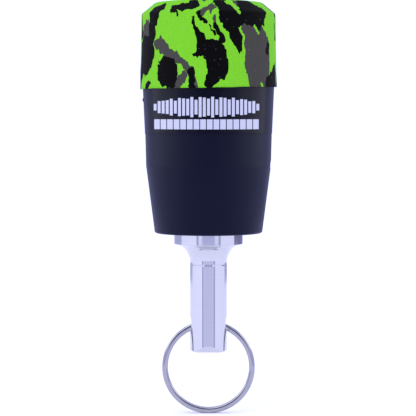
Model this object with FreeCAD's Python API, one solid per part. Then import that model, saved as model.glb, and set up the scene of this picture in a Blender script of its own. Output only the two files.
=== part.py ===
import FreeCAD, Part
import math
import os

# A hand-held electronic game caller. A loudspeaker fires upwards out of the wide end of a tapered
# plastic housing, under a pull-on camouflage sleeve. A turned metal stem is bolted to the narrow
# end, and a split ring hangs in the stem's cross-hole.
# Millimetres. The origin is the centre of the housing's flat underside, +Z runs up the caller's
# axis to the speaker, -Y is the labelled front, and the cross-hole runs along X.

# ---- housing ----
HOUSING_BOTTOM_D = 36.7
HOUSING_TAPER_TOP_D = 42.6
HOUSING_BAND_D = 43.4
HOUSING_SLEEVE_D = 44.75
HOUSING_TOP_D = 43.64
HOUSING_TAPER_H = 22.9
HOUSING_BAND_Z = 33.8
HOUSING_SLEEVE_Z = 49.4
HOUSING_H = 73.3
HOUSING_WALL = 2.0
HOUSING_FLOOR = 3.0
HOUSING_BOTTOM_ROUND = 0.8
BAND_STEP = 0.12
RIM_WALL = 1.35
LEDGE_DEPTH = 3.0
LEDGE_T = 1.4
STUD_HOLE_EASE = 0.2

# ---- general clearances ----
SLIP = 0.05
RUNNING = 0.1
PANEL_GAP = 0.2

# ---- label panel ----
LABEL_ARC_DEG = 136.0
LABEL_THICK = 0.3
LABEL_BOTTOM_ABOVE_BAND = 0.4
LABEL_UNDER_SLEEVE = 2.2

# ---- camouflage sleeve ----
SLEEVE_THICK = 0.7
SLEEVE_EASE = 0.2
SLEEVE_CORNER_R = 1.2

# ---- bezel and grille ----
BEZEL_CORNER_H = 0.9
BEZEL_SHOULDER_H = 4.2
BEZEL_SHOULDER_IN = 4.12
BEZEL_FACE_W = 1.3
BEZEL_LIP = 0.7
BEZEL_SPIGOT_H = 1.2
BEZEL_SPIGOT_WALL = 1.55
SNAP_BEAD = 0.25
SNAP_BEAD_W = 0.4
SNAP_BEAD_DOWN = 0.4
SNAP_BEAD_LEAD = 0.2
GRILLE_SEAT_ABOVE_RIM = 0.8
GRILLE_THICK = 0.6
GRILLE_RIM_W = 1.8
GRILLE_CROWN = 1.9
GRILLE_HOLE_D = 1.6
GRILLE_HOLE_PITCH = 2.9
GRILLE_HOLE_ROWS = 4
GRILLE_RIM_LAP = 1.2
RETAINER_H = 1.2
RETAINER_LIP = 0.4

# ---- loudspeaker ----
SPEAKER_EASE = 0.17
SPEAKER_FLANGE_T = 0.8
SPEAKER_FLANGE_W = 2.6
SPEAKER_SHEET = 0.8
GASKET_T = 0.8
GASKET_W = 1.4
BASKET_INSIDE_GASKET = 0.4
BASKET_DEPTH = 10.1
BASKET_DRAW = 5.7
BASKET_WINDOWS = 4
BASKET_WINDOW_W = 9.0
BASKET_WINDOW_LOW = 1.2
BASKET_WINDOW_HIGH = 1.6
BASKET_BORE_GAP = 1.4
TOP_PLATE_D = 27.0
TOP_PLATE_T = 2.2
MAGNET_D = 30.0
MAGNET_BORE = 16.0
MAGNET_T = 5.6
YOKE_PLATE_T = 2.4
POLE_D = 9.9
COIL_FORMER_D = 10.4
COIL_FORMER_T = 0.15
COIL_WINDING_T = 0.3
COIL_WINDING_H = 3.8
COIL_GAP = 0.35
COIL_END = 0.3
FORMER_H = 7.7
FORMER_ABOVE_SPIDER = 1.3
CONE_LAP = 0.2
CONE_IN_FROM_FRAME = 4.7
CONE_T = 0.4
CONE_H = 6.4
SPIDER_D = 24.4
SPIDER_SEAT_W = 1.2
SPIDER_SEAT_H = 2.2
SPIDER_T = 0.3
SPIDER_WAVE = 0.3
SPIDER_WAVES = 3
SURROUND_ROLL_R = 1.25
SURROUND_T = 0.3
SURROUND_LIP = 0.5
DUST_CAP_D = 13.2
DUST_CAP_H = 1.8
TERMINAL_W = 8.0
TERMINAL_H = 5.0
TERMINAL_IN_FROM_FRAME = 3.1
TERMINAL_DEPTH = 2.2
TERMINAL_TAG_W = 1.4
TERMINAL_TAG_T = 0.4
TERMINAL_TAG_INSET = 0.6

# ---- stem ----
FLANGE_D = 23.5
FLANGE_T = 3.9
FLANGE_EDGE = 0.3
STEM_D = 12.7
STEM_LEN = 40.6
STEM_FILLET_H = 7.2
STEM_FILLET_FOOT = 1.3
STEM_FILLET_BOW = (0.22, 0.40)
STEM_END_EDGE = 0.5
STEM_BEVEL_H = 2.2
STEM_BEVEL_DEPTH = 1.7
CROSS_HOLE_D = 5.2
CROSS_HOLE_FROM_END = 9.4
CROSS_HOLE_EDGE = 0.5
STUD_D = 8.0
STUD_ABOVE_NUT = 1.0
STUD_EDGE = 0.6
O_RING_MEAN_D = 17.0
O_RING_SECTION = 1.5
WASHER_D = 16.0
WASHER_T = 1.2
NUT_FLATS = 13.0
NUT_T = 4.6
NUT_CHAMFER = 0.7

# ---- split ring ----
RING_OD = 31.8
RING_WIRE_W = 2.0
RING_TURN_T = 1.1
RING_TURN_GAP = 0.08
RING_WIRE_ROUND = 0.35
RING_STEP_DEG = 16.0
RING_END_GAP_DEG = 1.5
RING_STEP_AT_DEG = 280.5
RING_HANG_GAP = 0.36

# ---- battery and chassis ----
CELL_D = 16.4
CELL_L = 34.0
CELL_EASE = 0.2
CELL_BOARD_GAP = 1.0
CELL_BUTTON_H = 0.8
CRADLE_WALL = 1.2
CRADLE_END_T = 1.4
CRADLE_FRONT_GAP = 1.25
CRADLE_BACK_TO_BOARD = 2.5
CRADLE_LAP = 1.0
CRADLE_BOARD_GAP = 0.3
CONTACT_T = 0.4
CONTACT_TAG_W = 3.0
CONTACT_TAG_OUT = 1.6
CONTACT_W = 10.0
CONTACT_DEPTH = 8.0
CHASSIS_FOOT_Z = 9.8
CHASSIS_FOOT_T = 1.8
CHASSIS_SCREW_X = 12.6
CHASSIS_SCREW_FROM_BACK = 1.7
CHASSIS_FOOT_X = 6.0
CHASSIS_RIB_INSET = 0.6
BOSS_R = 2.4
M2_R = 1.0
M2_HEAD_R = 1.9
M2_HEAD_H = 1.4
M2_LEN = 6.0
M2_TIP_GAP = 0.5
M2_RECESS_R = 0.8
M2_RECESS_DEPTH = 0.6
POST_R = 2.2
POST_X = 13.0
POST_LOW_UP = 4.4
POST_HIGH_UP = 23.9
ARM_T = 2.2
ARM_H = 3.0

# ---- main board ----
BOARD_T = 1.2
BOARD_W = 32.0
BOARD_Z0 = 12.6
BOARD_Z1 = 49.0
CONTROL_DEPTH = 1.6

# ---- components on the back of the board: x, height above the board's lower edge, then sizes ----
PROCESSOR = (0.0, 18.4, 9.0, 9.0, 1.0)
AMPLIFIER = (1.0, 29.9, 5.0, 5.0, 0.9)
MEMORY = (9.0, 29.9, 6.0, 5.0, 0.8)
RADIO = (-4.0, 4.9, 10.0, 8.0, 2.0)
CAPACITOR_PLACES = ((-9.5, 11.9), (-9.5, 18.4), (9.5, 17.4))
CAPACITOR_R = 2.5
CAPACITOR_H = 6.0
CAPACITOR_BASE = 5.4
CAPACITOR_BASE_T = 0.8
INDUCTOR_PLACE = (6.0, 6.4)
INDUCTOR_BASE = 5.6
INDUCTOR_BASE_T = 0.5
INDUCTOR_CORE_R = 2.2
INDUCTOR_CAP_R = 2.8
INDUCTOR_CORE_H = 2.3
INDUCTOR_CAP_T = 0.6

# ---- power button, switch and indicator ----
BUTTON_Z = 45.4
BUTTON_D = 7.0
BUTTON_FLANGE_D = 9.2
BUTTON_FLANGE_T = 0.8
BUTTON_TRAVEL = 0.5
BUTTON_PIP_D = 1.1
BUTTON_PIP_H = 0.3
BUTTON_BOSS_X = 18.4
BUTTON_BOSS_HALF = 5.4
SEAL_T = 0.9
SEAL_W = 0.75
BUTTON_POST_R = 1.2
SWITCH_FACE_X = 15.6
SWITCH_LEN = 4.0
SWITCH_HALF_H = 3.0
SWITCH_HALF_W = 1.5
PLUNGER_END_GAP = 0.3
PLUNGER_D = 1.8
PLUNGER_OUT = 1.1
PLUNGER_IN = 0.7
LED_Z = 39.6
LED_SIZE = 1.6
LED_X = 15.4
LIGHT_PIPE_D = 2.2
LIGHT_PIPE_GAP = 0.3

# ---- charging port and its cover ----
PORT_Z = 28.0
PORT_SHELL_W = 3.2
PORT_SHELL_H = 8.94
PORT_SHELL_L = 7.3
PORT_SHELL_WALL = 0.3
PORT_BACK_WALL = 1.2
PORT_ROUND = 0.9
PORT_TONGUE_W = 6.6
PORT_TONGUE_T = 0.7
PORT_TONGUE_SHORT = 0.8
PORT_FACE_X = 18.4
PORT_SLOT_EDGE = 0.35
PORT_BOSS_X = 17.4
PORT_BOSS_EDGE = 1.6
COVER_W = 7.6
COVER_H = 11.2
COVER_FLOOR_X = 19.5
COVER_PLUG_DEPTH = 0.7
COVER_PLUG_EASE = 0.35
COVER_PLUG_ROOT = 0.5
COVER_PLUG_HEEL = 0.4
HINGE_R = 0.9
HINGE_RELIEF = 0.4
HINGE_RELIEF_H = 2.0
HINGE_PIN_D = 1.0
HINGE_PIN_OVERHANG = 1.0

# ---- leads ----
LEAD_D = 1.0
SOCKET_H = 5.0
SOCKET_W = 6.0
SOCKET_D = 4.0
SOCKET_DOWN = 0.5
SPEAKER_SOCKET_X = -10.5
BATTERY_SOCKET_X = 12.0
LEAD_PITCH = 2.4
LEAD_UP_SOCKET = 2.0
LEAD_OUT = 4.6
LEAD_RISE = 3.0
LEAD_WALL_GAP = 4.76
LEAD_UNDER_TAG = 3.2
TAG_END = 0.6

PARTS_DIR = "parts"
REACH = 60.0


def housing_radius(z):
    """The housing's outside radius at a height, straight between the stations of its profile."""
    stations = [
        (0.0, HOUSING_BOTTOM_D / 2),
        (HOUSING_TAPER_H, HOUSING_TAPER_TOP_D / 2),
        (HOUSING_BAND_Z, HOUSING_BAND_D / 2),
        (HOUSING_SLEEVE_Z, HOUSING_SLEEVE_D / 2),
        (HOUSING_H, HOUSING_TOP_D / 2),
    ]
    z = min(max(z, 0.0), HOUSING_H)
    for (z0, r0), (z1, r1) in zip(stations, stations[1:]):
        if z <= z1:
            return r0 + (r1 - r0) * (z - z0) / (z1 - z0)
    return stations[-1][1]


# ---- places worked out from the sizes above ----
RIM_R = HOUSING_TOP_D / 2 - RIM_WALL
LEDGE_Z = HOUSING_H - LEDGE_DEPTH
SPEAKER_FRAME_D = 2 * (RIM_R - SPEAKER_EASE)
CONE_D = SPEAKER_FRAME_D - 2 * CONE_IN_FROM_FRAME
BASKET_BOTTOM_D = SPEAKER_FRAME_D - 2 * BASKET_DRAW
TERMINAL_Y = SPEAKER_FRAME_D / 2 - TERMINAL_IN_FROM_FRAME
BEZEL_TOP_D = HOUSING_TOP_D - 2 * BEZEL_SHOULDER_IN
BEZEL_MOUTH_D = BEZEL_TOP_D - 2 * BEZEL_FACE_W
FLANGE_Z0 = LEDGE_Z + GASKET_T
FLANGE_Z1 = FLANGE_Z0 + SPEAKER_FLANGE_T
BASKET_Z0 = FLANGE_Z0 - BASKET_DEPTH
PLATE_Z0 = BASKET_Z0 - TOP_PLATE_T
MAGNET_Z0 = PLATE_Z0 - MAGNET_T
YOKE_Z0 = MAGNET_Z0 - YOKE_PLATE_T
SPIDER_Z = BASKET_Z0 + SPEAKER_SHEET + SPIDER_SEAT_H
FORMER_R = COIL_FORMER_D / 2
FORMER_Z1 = SPIDER_Z + FORMER_ABOVE_SPIDER
FORMER_Z0 = FORMER_Z1 - FORMER_H
CONE_Z0 = FORMER_Z1 - CONE_LAP
BEZEL_TOP_Z = HOUSING_H + BEZEL_SHOULDER_H
GRILLE_Z1 = BEZEL_TOP_Z - BEZEL_LIP
NUT_Z0 = HOUSING_FLOOR + WASHER_T
STUD_Z1 = NUT_Z0 + NUT_T + STUD_ABOVE_NUT
CRADLE_Z0 = CHASSIS_FOOT_Z + CHASSIS_FOOT_T
CRADLE_IN_R = CELL_D / 2 + CELL_EASE
CRADLE_OUT_R = CRADLE_IN_R + CRADLE_WALL
CELL_Z0 = CRADLE_Z0 + CRADLE_END_T + CONTACT_T
CELL_Z1 = CELL_Z0 + CELL_L
CELL_Y = CRADLE_OUT_R + CRADLE_FRONT_GAP + HOUSING_WALL - housing_radius(CRADLE_Z0)
BOARD_Y = CELL_Y + CELL_D / 2 + CELL_BOARD_GAP
BOARD_BACK_Y = BOARD_Y + BOARD_T
CONTROL_Y = BOARD_Y - CONTROL_DEPTH
CRADLE_BACK_Y = BOARD_Y - CRADLE_BACK_TO_BOARD
CHASSIS_SCREW_Y = CRADLE_BACK_Y - CHASSIS_SCREW_FROM_BACK
TAG_X = CELL_D / 2 + CRADLE_WALL + CONTACT_TAG_OUT
POST_HEIGHTS = (BOARD_Z0 + POST_LOW_UP, BOARD_Z0 + POST_HIGH_UP)
CROSS_HOLE_Z = CROSS_HOLE_FROM_END - STEM_LEN
RING_SEAT_DROP = math.sqrt((RING_OD / 2 - RING_WIRE_W) ** 2 - (STEM_D / 2 - CROSS_HOLE_EDGE) ** 2)
RING_Z = CROSS_HOLE_Z - CROSS_HOLE_D / 2 + RING_HANG_GAP - RING_SEAT_DROP
SOCKET_Z = BOARD_Z1 - SOCKET_H


X = FreeCAD.Vector(1, 0, 0)
Y = FreeCAD.Vector(0, 1, 0)
Z = FreeCAD.Vector(0, 0, 1)


def point(x, y, z):
    return FreeCAD.Vector(x, y, z)


def box(x0, x1, y0, y1, z0, z1):
    """A box between two corners, given in any order along each axis."""
    low = point(min(x0, x1), min(y0, y1), min(z0, z1))
    return Part.makeBox(abs(x1 - x0), abs(y1 - y0), abs(z1 - z0), low)


def disc(radius, z0, z1, x=0.0, y=0.0):
    """A cylinder along Z."""
    return Part.makeCylinder(radius, z1 - z0, point(x, y, z0))


def ring(outer_r, inner_r, z0, z1):
    """A plain washer shape about the caller's axis."""
    return disc(outer_r, z0, z1).cut(disc(inner_r, z0 - 1, z1 + 1))


def rod(radius, start, end):
    """A cylinder from one point to another."""
    along = end - start
    return Part.makeCylinder(radius, along.Length, start, along)


def ball(radius, centre_z):
    """A sphere on the caller's axis, with its poles at the sides so that a dome's top is plain."""
    return Part.makeSphere(radius, point(0, 0, centre_z), X)


def turned(outline):
    """Revolves a closed (radius, z) outline about the caller's axis."""
    corners = [point(r, 0, z) for r, z in outline]
    wire = Part.makePolygon(corners + corners[:1])
    return Part.Face(wire).revolve(point(0, 0, 0), Z, 360)


def turned_shell(edges):
    """Revolves a closed loop of ready-made edges about the caller's axis."""
    wire = Part.Wire(Part.__sortEdges__(edges))
    return Part.Face(wire).revolve(point(0, 0, 0), Z, 360)


def joined(solids):
    """Fuses touching solids into one piece."""
    whole = solids[0].multiFuse(solids[1:])
    return whole.removeSplitter()


def group(solids):
    """Keeps separate solids together in one node."""
    return Part.makeCompound(solids)


def housing_outside():
    """The solid bounded by the housing's outside, with the fine step under the label band."""
    return turned([
        (0, 0),
        (HOUSING_BOTTOM_D / 2, 0),
        (HOUSING_TAPER_TOP_D / 2, HOUSING_TAPER_H),
        (HOUSING_BAND_D / 2 - BAND_STEP, HOUSING_BAND_Z),
        (HOUSING_BAND_D / 2, HOUSING_BAND_Z),
        (HOUSING_SLEEVE_D / 2, HOUSING_SLEEVE_Z),
        (HOUSING_TOP_D / 2, HOUSING_H),
        (0, HOUSING_H),
    ])


def housing_cavity():
    """The room inside the housing, up to the ledge that the loudspeaker's gasket sits on."""
    def wall(z):
        return housing_radius(z) - HOUSING_WALL

    ledge_r = SPEAKER_FRAME_D / 2 - GASKET_W - SLIP
    ledge_low = LEDGE_Z - LEDGE_T
    ledge_foot = ledge_low - (wall(LEDGE_Z) - ledge_r)
    return turned([
        (0, HOUSING_FLOOR),
        (wall(HOUSING_FLOOR), HOUSING_FLOOR),
        (wall(HOUSING_TAPER_H), HOUSING_TAPER_H),
        (wall(HOUSING_BAND_Z), HOUSING_BAND_Z),
        (wall(HOUSING_SLEEVE_Z), HOUSING_SLEEVE_Z),
        (wall(ledge_foot), ledge_foot),
        (ledge_r, ledge_low),
        (ledge_r, LEDGE_Z),
        (RIM_R, LEDGE_Z),
        (RIM_R, HOUSING_H - SNAP_BEAD_W - SNAP_BEAD_DOWN),
        (RIM_R + SNAP_BEAD, HOUSING_H - SNAP_BEAD_W - SNAP_BEAD_LEAD),
        (RIM_R + SNAP_BEAD, HOUSING_H - SNAP_BEAD_DOWN),
        (RIM_R, HOUSING_H - SNAP_BEAD_LEAD),
        (RIM_R, HOUSING_H + 1),
        (0, HOUSING_H + 1),
    ])


def label_band(inner_gap, outer_gap, edge_gap):
    """The wedge of housing skin that the label panel fills, grown by the gaps given."""
    z0 = HOUSING_BAND_Z + LABEL_BOTTOM_ABOVE_BAND - edge_gap
    z1 = HOUSING_SLEEVE_Z + LABEL_UNDER_SLEEVE + edge_gap
    depth = LABEL_THICK + inner_gap
    outline = [(housing_radius(z0) - depth, z0), (housing_radius(z0) + outer_gap, z0),
               (housing_radius(HOUSING_SLEEVE_Z) + outer_gap, HOUSING_SLEEVE_Z),
               (housing_radius(z1) + outer_gap, z1), (housing_radius(z1) - depth, z1),
               (housing_radius(HOUSING_SLEEVE_Z) - depth, HOUSING_SLEEVE_Z)]
    corners = [point(r, 0, z) for r, z in outline]
    face = Part.Face(Part.makePolygon(corners + corners[:1]))
    half = LABEL_ARC_DEG / 2 + math.degrees(edge_gap / housing_radius(z0))
    face.rotate(point(0, 0, 0), Z, -90 - half)
    return face.revolve(point(0, 0, 0), Z, 2 * half)


def cover_block(gap, floor_gap):
    """The block of wall that the port cover fills, before the housing's outside trims it."""
    half_w, half_h = COVER_W / 2 + gap, COVER_H / 2 + gap
    return box(COVER_FLOOR_X + floor_gap, REACH, CONTROL_Y - half_w, CONTROL_Y + half_w,
               PORT_Z - half_h, PORT_Z + half_h)


def hinge_centre():
    """The port cover's hinge: at the cover's lower end, one barrel radius under the skin."""
    z = PORT_Z - COVER_H / 2 + HINGE_R
    skin_x = math.sqrt(housing_radius(z) ** 2 - (COVER_W / 2) ** 2)
    return point(skin_x - HINGE_R, CONTROL_Y, z)


def hinge_rod(radius, half_length):
    middle = hinge_centre()
    return rod(radius, middle - Y * half_length, middle + Y * half_length)


# ---- housing pieces ----
def main_housing():
    outside = housing_outside()
    cavity = housing_cavity()
    foot_edges = [e for e in outside.Edges
                  if e.BoundBox.ZLength < 0.01 and e.BoundBox.ZMax < 0.01 and e.Length > HOUSING_BOTTOM_D]
    outside = outside.makeFillet(HOUSING_BOTTOM_ROUND, foot_edges)
    shell = outside.cut(cavity)
    button_boss = box(-BUTTON_BOSS_X, -REACH, CONTROL_Y - BUTTON_BOSS_HALF, CONTROL_Y + BUTTON_BOSS_HALF,
                      LED_Z - LIGHT_PIPE_D, BUTTON_Z + BUTTON_BOSS_HALF)
    port_half_w = COVER_W / 2 + PORT_BOSS_EDGE
    port_half_h = COVER_H / 2 + PORT_BOSS_EDGE
    port_boss = box(PORT_BOSS_X, REACH, CONTROL_Y - port_half_w, CONTROL_Y + port_half_w,
                    PORT_Z - port_half_h, PORT_Z + port_half_h)
    skin_side = outside.common(disc(REACH, HOUSING_FLOOR, LEDGE_Z))
    bosses = [button_boss.common(skin_side), port_boss.common(skin_side)]
    for side in (-1, 1):
        bosses.append(disc(BOSS_R, HOUSING_FLOOR - 1, CHASSIS_FOOT_Z,
                           side * CHASSIS_SCREW_X, CHASSIS_SCREW_Y))
    body = joined([shell] + bosses)

    cuts = [disc(STUD_D / 2 + STUD_HOLE_EASE, -1, HOUSING_FLOOR + 1), label_band(SLIP, 1.0, SLIP)]
    for side in (-1, 1):
        cuts.append(disc(M2_R + SLIP, CHASSIS_FOOT_Z - M2_LEN, CHASSIS_FOOT_Z + 1,
                         side * CHASSIS_SCREW_X, CHASSIS_SCREW_Y))
    button_at = point(-BUTTON_BOSS_X + 1, CONTROL_Y, BUTTON_Z)
    cuts.append(rod(BUTTON_D / 2 + RUNNING, button_at, button_at - X * 10))
    cuts.append(rod(BUTTON_D / 2 + RUNNING + SEAL_W, button_at, button_at - X * (1 + SEAL_T + RUNNING)))
    pipe_at = point(-BUTTON_BOSS_X + 1, CONTROL_Y, LED_Z)
    cuts.append(rod(LIGHT_PIPE_D / 2 + SLIP, pipe_at, pipe_at - X * 10))
    slot_w = PORT_SHELL_W / 2 + PORT_SLOT_EDGE
    slot_h = PORT_SHELL_H / 2 + PORT_SLOT_EDGE
    cuts.append(box(PORT_BOSS_X - 1, REACH, CONTROL_Y - slot_w, CONTROL_Y + slot_w,
                    PORT_Z - slot_h, PORT_Z + slot_h))
    cuts.append(cover_block(PANEL_GAP, 0))
    cuts.append(hinge_rod(HINGE_R + PANEL_GAP, COVER_W / 2 + PANEL_GAP))
    cuts.append(hinge_rod(HINGE_PIN_D / 2 + SLIP, COVER_W / 2 + HINGE_PIN_OVERHANG))
    for cut in cuts:
        body = body.cut(cut)
    return body


def label_panel():
    return label_band(0, 0, 0)


def bezel_ring():
    spigot_r = RIM_R - RUNNING
    spigot_in = spigot_r - BEZEL_SPIGOT_WALL
    seat_r = BEZEL_MOUTH_D / 2 + GRILLE_RIM_W
    bead_z = HOUSING_H - SNAP_BEAD_DOWN - SNAP_BEAD_W
    return turned([
        (HOUSING_TOP_D / 2, HOUSING_H),
        (HOUSING_TOP_D / 2 - 0.05, HOUSING_H + BEZEL_CORNER_H),
        (BEZEL_TOP_D / 2, BEZEL_TOP_Z),
        (BEZEL_MOUTH_D / 2, BEZEL_TOP_Z),
        (BEZEL_MOUTH_D / 2, GRILLE_Z1),
        (seat_r, GRILLE_Z1),
        (seat_r, HOUSING_H + GRILLE_SEAT_ABOVE_RIM),
        (spigot_in, HOUSING_H - BEZEL_SPIGOT_H),
        (spigot_r, HOUSING_H - BEZEL_SPIGOT_H),
        (spigot_r, bead_z),
        (spigot_r + SNAP_BEAD, bead_z + SNAP_BEAD_W / 2),
        (spigot_r, bead_z + SNAP_BEAD_W),
        (spigot_r, HOUSING_H),
    ])


def crowned_disc(edge_r, z0, crown, thick):
    """A shallow dome of even thickness whose rim is at z0."""
    ball_r = (edge_r ** 2 + crown ** 2) / (2 * crown)
    centre_z = z0 + crown - ball_r
    dome = ball(ball_r, centre_z).cut(ball(ball_r - thick, centre_z))
    return dome.common(disc(edge_r, z0 - thick, z0 + crown + 1))


def grille():
    dome_r = BEZEL_MOUTH_D / 2 - RUNNING
    rim_r = BEZEL_MOUTH_D / 2 + GRILLE_RIM_W - RUNNING
    dome = crowned_disc(dome_r, GRILLE_Z1, GRILLE_CROWN, GRILLE_THICK)
    rim = ring(rim_r, dome_r - GRILLE_RIM_LAP, GRILLE_Z1 - GRILLE_THICK, GRILLE_Z1)
    plate = joined([dome, rim])
    holes = [disc(GRILLE_HOLE_D / 2, GRILLE_Z1 - 3, GRILLE_Z1 + GRILLE_CROWN + 2)]
    for row in range(1, GRILLE_HOLE_ROWS + 1):
        for k in range(6 * row):
            turn = 2 * math.pi * k / (6 * row)
            holes.append(disc(GRILLE_HOLE_D / 2, GRILLE_Z1 - 3, GRILLE_Z1 + GRILLE_CROWN + 2,
                              row * GRILLE_HOLE_PITCH * math.cos(turn),
                              row * GRILLE_HOLE_PITCH * math.sin(turn)))
    return plate.cut(Part.makeCompound(holes))


def grille_retainer():
    z1 = GRILLE_Z1 - GRILLE_THICK
    outer_r = BEZEL_MOUTH_D / 2 + GRILLE_RIM_W - SLIP
    return ring(outer_r, BEZEL_MOUTH_D / 2 - RETAINER_LIP, z1 - RETAINER_H, z1)


def camo_sleeve():
    """A close cap of cloth: straight sides, a rounded shoulder and a crowned top."""
    ease, thick = SLEEVE_EASE, SLEEVE_EASE + SLEEVE_THICK
    slope = math.atan2(BEZEL_SHOULDER_H - BEZEL_CORNER_H, (HOUSING_TOP_D - BEZEL_TOP_D) / 2)

    def layer(gap):
        low_r = HOUSING_SLEEVE_D / 2 + gap
        corner_r = HOUSING_TOP_D / 2 + gap
        corner_z = HOUSING_H + BEZEL_CORNER_H + gap * math.tan(slope / 2)
        top_r = BEZEL_TOP_D / 2 + gap * math.tan(slope / 2)
        top_z = BEZEL_TOP_Z + gap
        crown_z = GRILLE_Z1 + GRILLE_CROWN + gap
        return low_r, corner_r, corner_z, top_r, top_z, crown_z

    def cap(gap, z0):
        low_r, corner_r, corner_z, top_r, top_z, crown_z = layer(gap)
        sides = turned([(0, z0), (low_r, z0), (corner_r, corner_z), (top_r, top_z), (0, top_z)])
        crown_h = crown_z - top_z
        ball_r = (top_r ** 2 + crown_h ** 2) / (2 * crown_h)
        crown = ball(ball_r, crown_z - ball_r).common(disc(top_r, top_z, crown_z + 1))
        return joined([sides, crown])

    outer = cap(thick, HOUSING_SLEEVE_Z)
    corner_z = layer(thick)[2]
    shoulder = [e for e in outer.Edges
                if e.BoundBox.ZLength < 0.01 and abs(e.BoundBox.ZMax - corner_z) < 0.01]
    outer = outer.makeFillet(SLEEVE_CORNER_R, shoulder)
    return outer.cut(cap(ease, HOUSING_SLEEVE_Z - 1))


# ---- loudspeaker ----
def speaker_gasket():
    outer_r = SPEAKER_FRAME_D / 2 - SLIP
    return ring(outer_r, outer_r - GASKET_W, LEDGE_Z, FLANGE_Z0)


def basket_outside():
    """The solid bounded by the outside of the basket's sloping wall."""
    top_r = SPEAKER_FRAME_D / 2 - GASKET_W - BASKET_INSIDE_GASKET
    return turned([(0, BASKET_Z0), (BASKET_BOTTOM_D / 2, BASKET_Z0), (top_r, FLANGE_Z0), (0, FLANGE_Z0)])


def speaker_basket():
    outer_r = SPEAKER_FRAME_D / 2
    flange_in = outer_r - SPEAKER_FLANGE_W
    top_r = outer_r - GASKET_W - BASKET_INSIDE_GASKET
    floor_z = BASKET_Z0 + SPEAKER_SHEET
    seat_out = SPIDER_D / 2
    frame = turned([
        (FORMER_R + BASKET_BORE_GAP, BASKET_Z0),
        (BASKET_BOTTOM_D / 2, BASKET_Z0),
        (top_r, FLANGE_Z0),
        (outer_r, FLANGE_Z0),
        (outer_r, FLANGE_Z1),
        (flange_in, FLANGE_Z1),
        (flange_in, FLANGE_Z0 + 0.1),
        (BASKET_BOTTOM_D / 2 - SPEAKER_SHEET, floor_z),
        (seat_out, floor_z),
        (seat_out, SPIDER_Z),
        (seat_out - SPIDER_SEAT_W, SPIDER_Z),
        (seat_out - SPIDER_SEAT_W, floor_z),
        (FORMER_R + BASKET_BORE_GAP, floor_z),
    ])
    window = box(seat_out + 0.4, REACH, -BASKET_WINDOW_W / 2, BASKET_WINDOW_W / 2,
                 floor_z + BASKET_WINDOW_LOW, FLANGE_Z0 - BASKET_WINDOW_HIGH)
    for k in range(BASKET_WINDOWS):
        turned_window = window.copy()
        turned_window.rotate(point(0, 0, 0), Z, 360 * (k + 0.5) / BASKET_WINDOWS)
        frame = frame.cut(turned_window)
    return frame


def speaker_top_plate():
    bore_r = FORMER_R + COIL_FORMER_T + COIL_WINDING_T + COIL_GAP
    return ring(TOP_PLATE_D / 2, bore_r, PLATE_Z0, BASKET_Z0)


def speaker_magnet():
    return ring(MAGNET_D / 2, MAGNET_BORE / 2, MAGNET_Z0, PLATE_Z0)


def speaker_yoke():
    plate = disc(TOP_PLATE_D / 2, YOKE_Z0, MAGNET_Z0)
    return joined([plate, disc(POLE_D / 2, YOKE_Z0, BASKET_Z0)])


def speaker_terminals():
    """An insulating strip with two solder tags, shaped to lie against the basket's wall."""
    z0 = BASKET_Z0
    strip = box(-TERMINAL_W / 2, TERMINAL_W / 2, TERMINAL_Y - TERMINAL_DEPTH, TERMINAL_Y,
                z0, z0 + TERMINAL_H)
    strip = strip.cut(basket_outside())
    tags = []
    for side in (-1, 1):
        x = side * TERMINAL_W / 4
        tags.append(box(x - TERMINAL_TAG_W / 2, x + TERMINAL_TAG_W / 2,
                        TERMINAL_Y, TERMINAL_Y + TERMINAL_TAG_T,
                        z0 + TERMINAL_TAG_INSET, z0 + TERMINAL_H - TERMINAL_TAG_INSET))
    return group([strip] + tags)


def voice_coil():
    former = ring(FORMER_R + COIL_FORMER_T, FORMER_R, FORMER_Z0, FORMER_Z1)
    winding_z = FORMER_Z0 + COIL_END
    winding = ring(FORMER_R + COIL_FORMER_T + COIL_WINDING_T, FORMER_R + COIL_FORMER_T,
                   winding_z, winding_z + COIL_WINDING_H)
    return joined([former, winding])


def speaker_cone():
    inner_r = FORMER_R + COIL_FORMER_T
    outer_r = CONE_D / 2
    z1 = CONE_Z0 + CONE_H
    return turned([(inner_r, CONE_Z0), (outer_r, z1), (outer_r, z1 + CONE_T), (inner_r, CONE_Z0 + CONE_T)])


def cone_height(radius):
    """The height of the cone's upper face at a radius."""
    inner_r = FORMER_R + COIL_FORMER_T
    rise = CONE_H * (radius - inner_r) / (CONE_D / 2 - inner_r)
    return CONE_Z0 + CONE_T + rise


def dust_cap():
    edge_r = DUST_CAP_D / 2
    return crowned_disc(edge_r, cone_height(edge_r) + CONE_T, DUST_CAP_H, CONE_T)


def surround():
    """A half roll of rubber from the cone's edge to a lip on the basket's flange."""
    cone_edge = CONE_D / 2
    roll_x = cone_edge + SURROUND_ROLL_R
    z0 = FLANGE_Z1
    lip_r = roll_x + SURROUND_ROLL_R + SURROUND_LIP

    def roll(radius):
        return Part.Arc(point(roll_x - radius, 0, z0), point(roll_x, 0, z0 + radius),
                        point(roll_x + radius, 0, z0)).toShape()

    outer_r, inner_r = SURROUND_ROLL_R + SURROUND_T / 2, SURROUND_ROLL_R - SURROUND_T / 2
    band = turned_shell([roll(outer_r), roll(inner_r),
                         Part.makeLine(point(roll_x - outer_r, 0, z0), point(roll_x - inner_r, 0, z0)),
                         Part.makeLine(point(roll_x + inner_r, 0, z0), point(roll_x + outer_r, 0, z0))])
    lip = ring(lip_r, roll_x + inner_r + 0.1, z0, z0 + SURROUND_T)
    return joined([band, lip])


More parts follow.
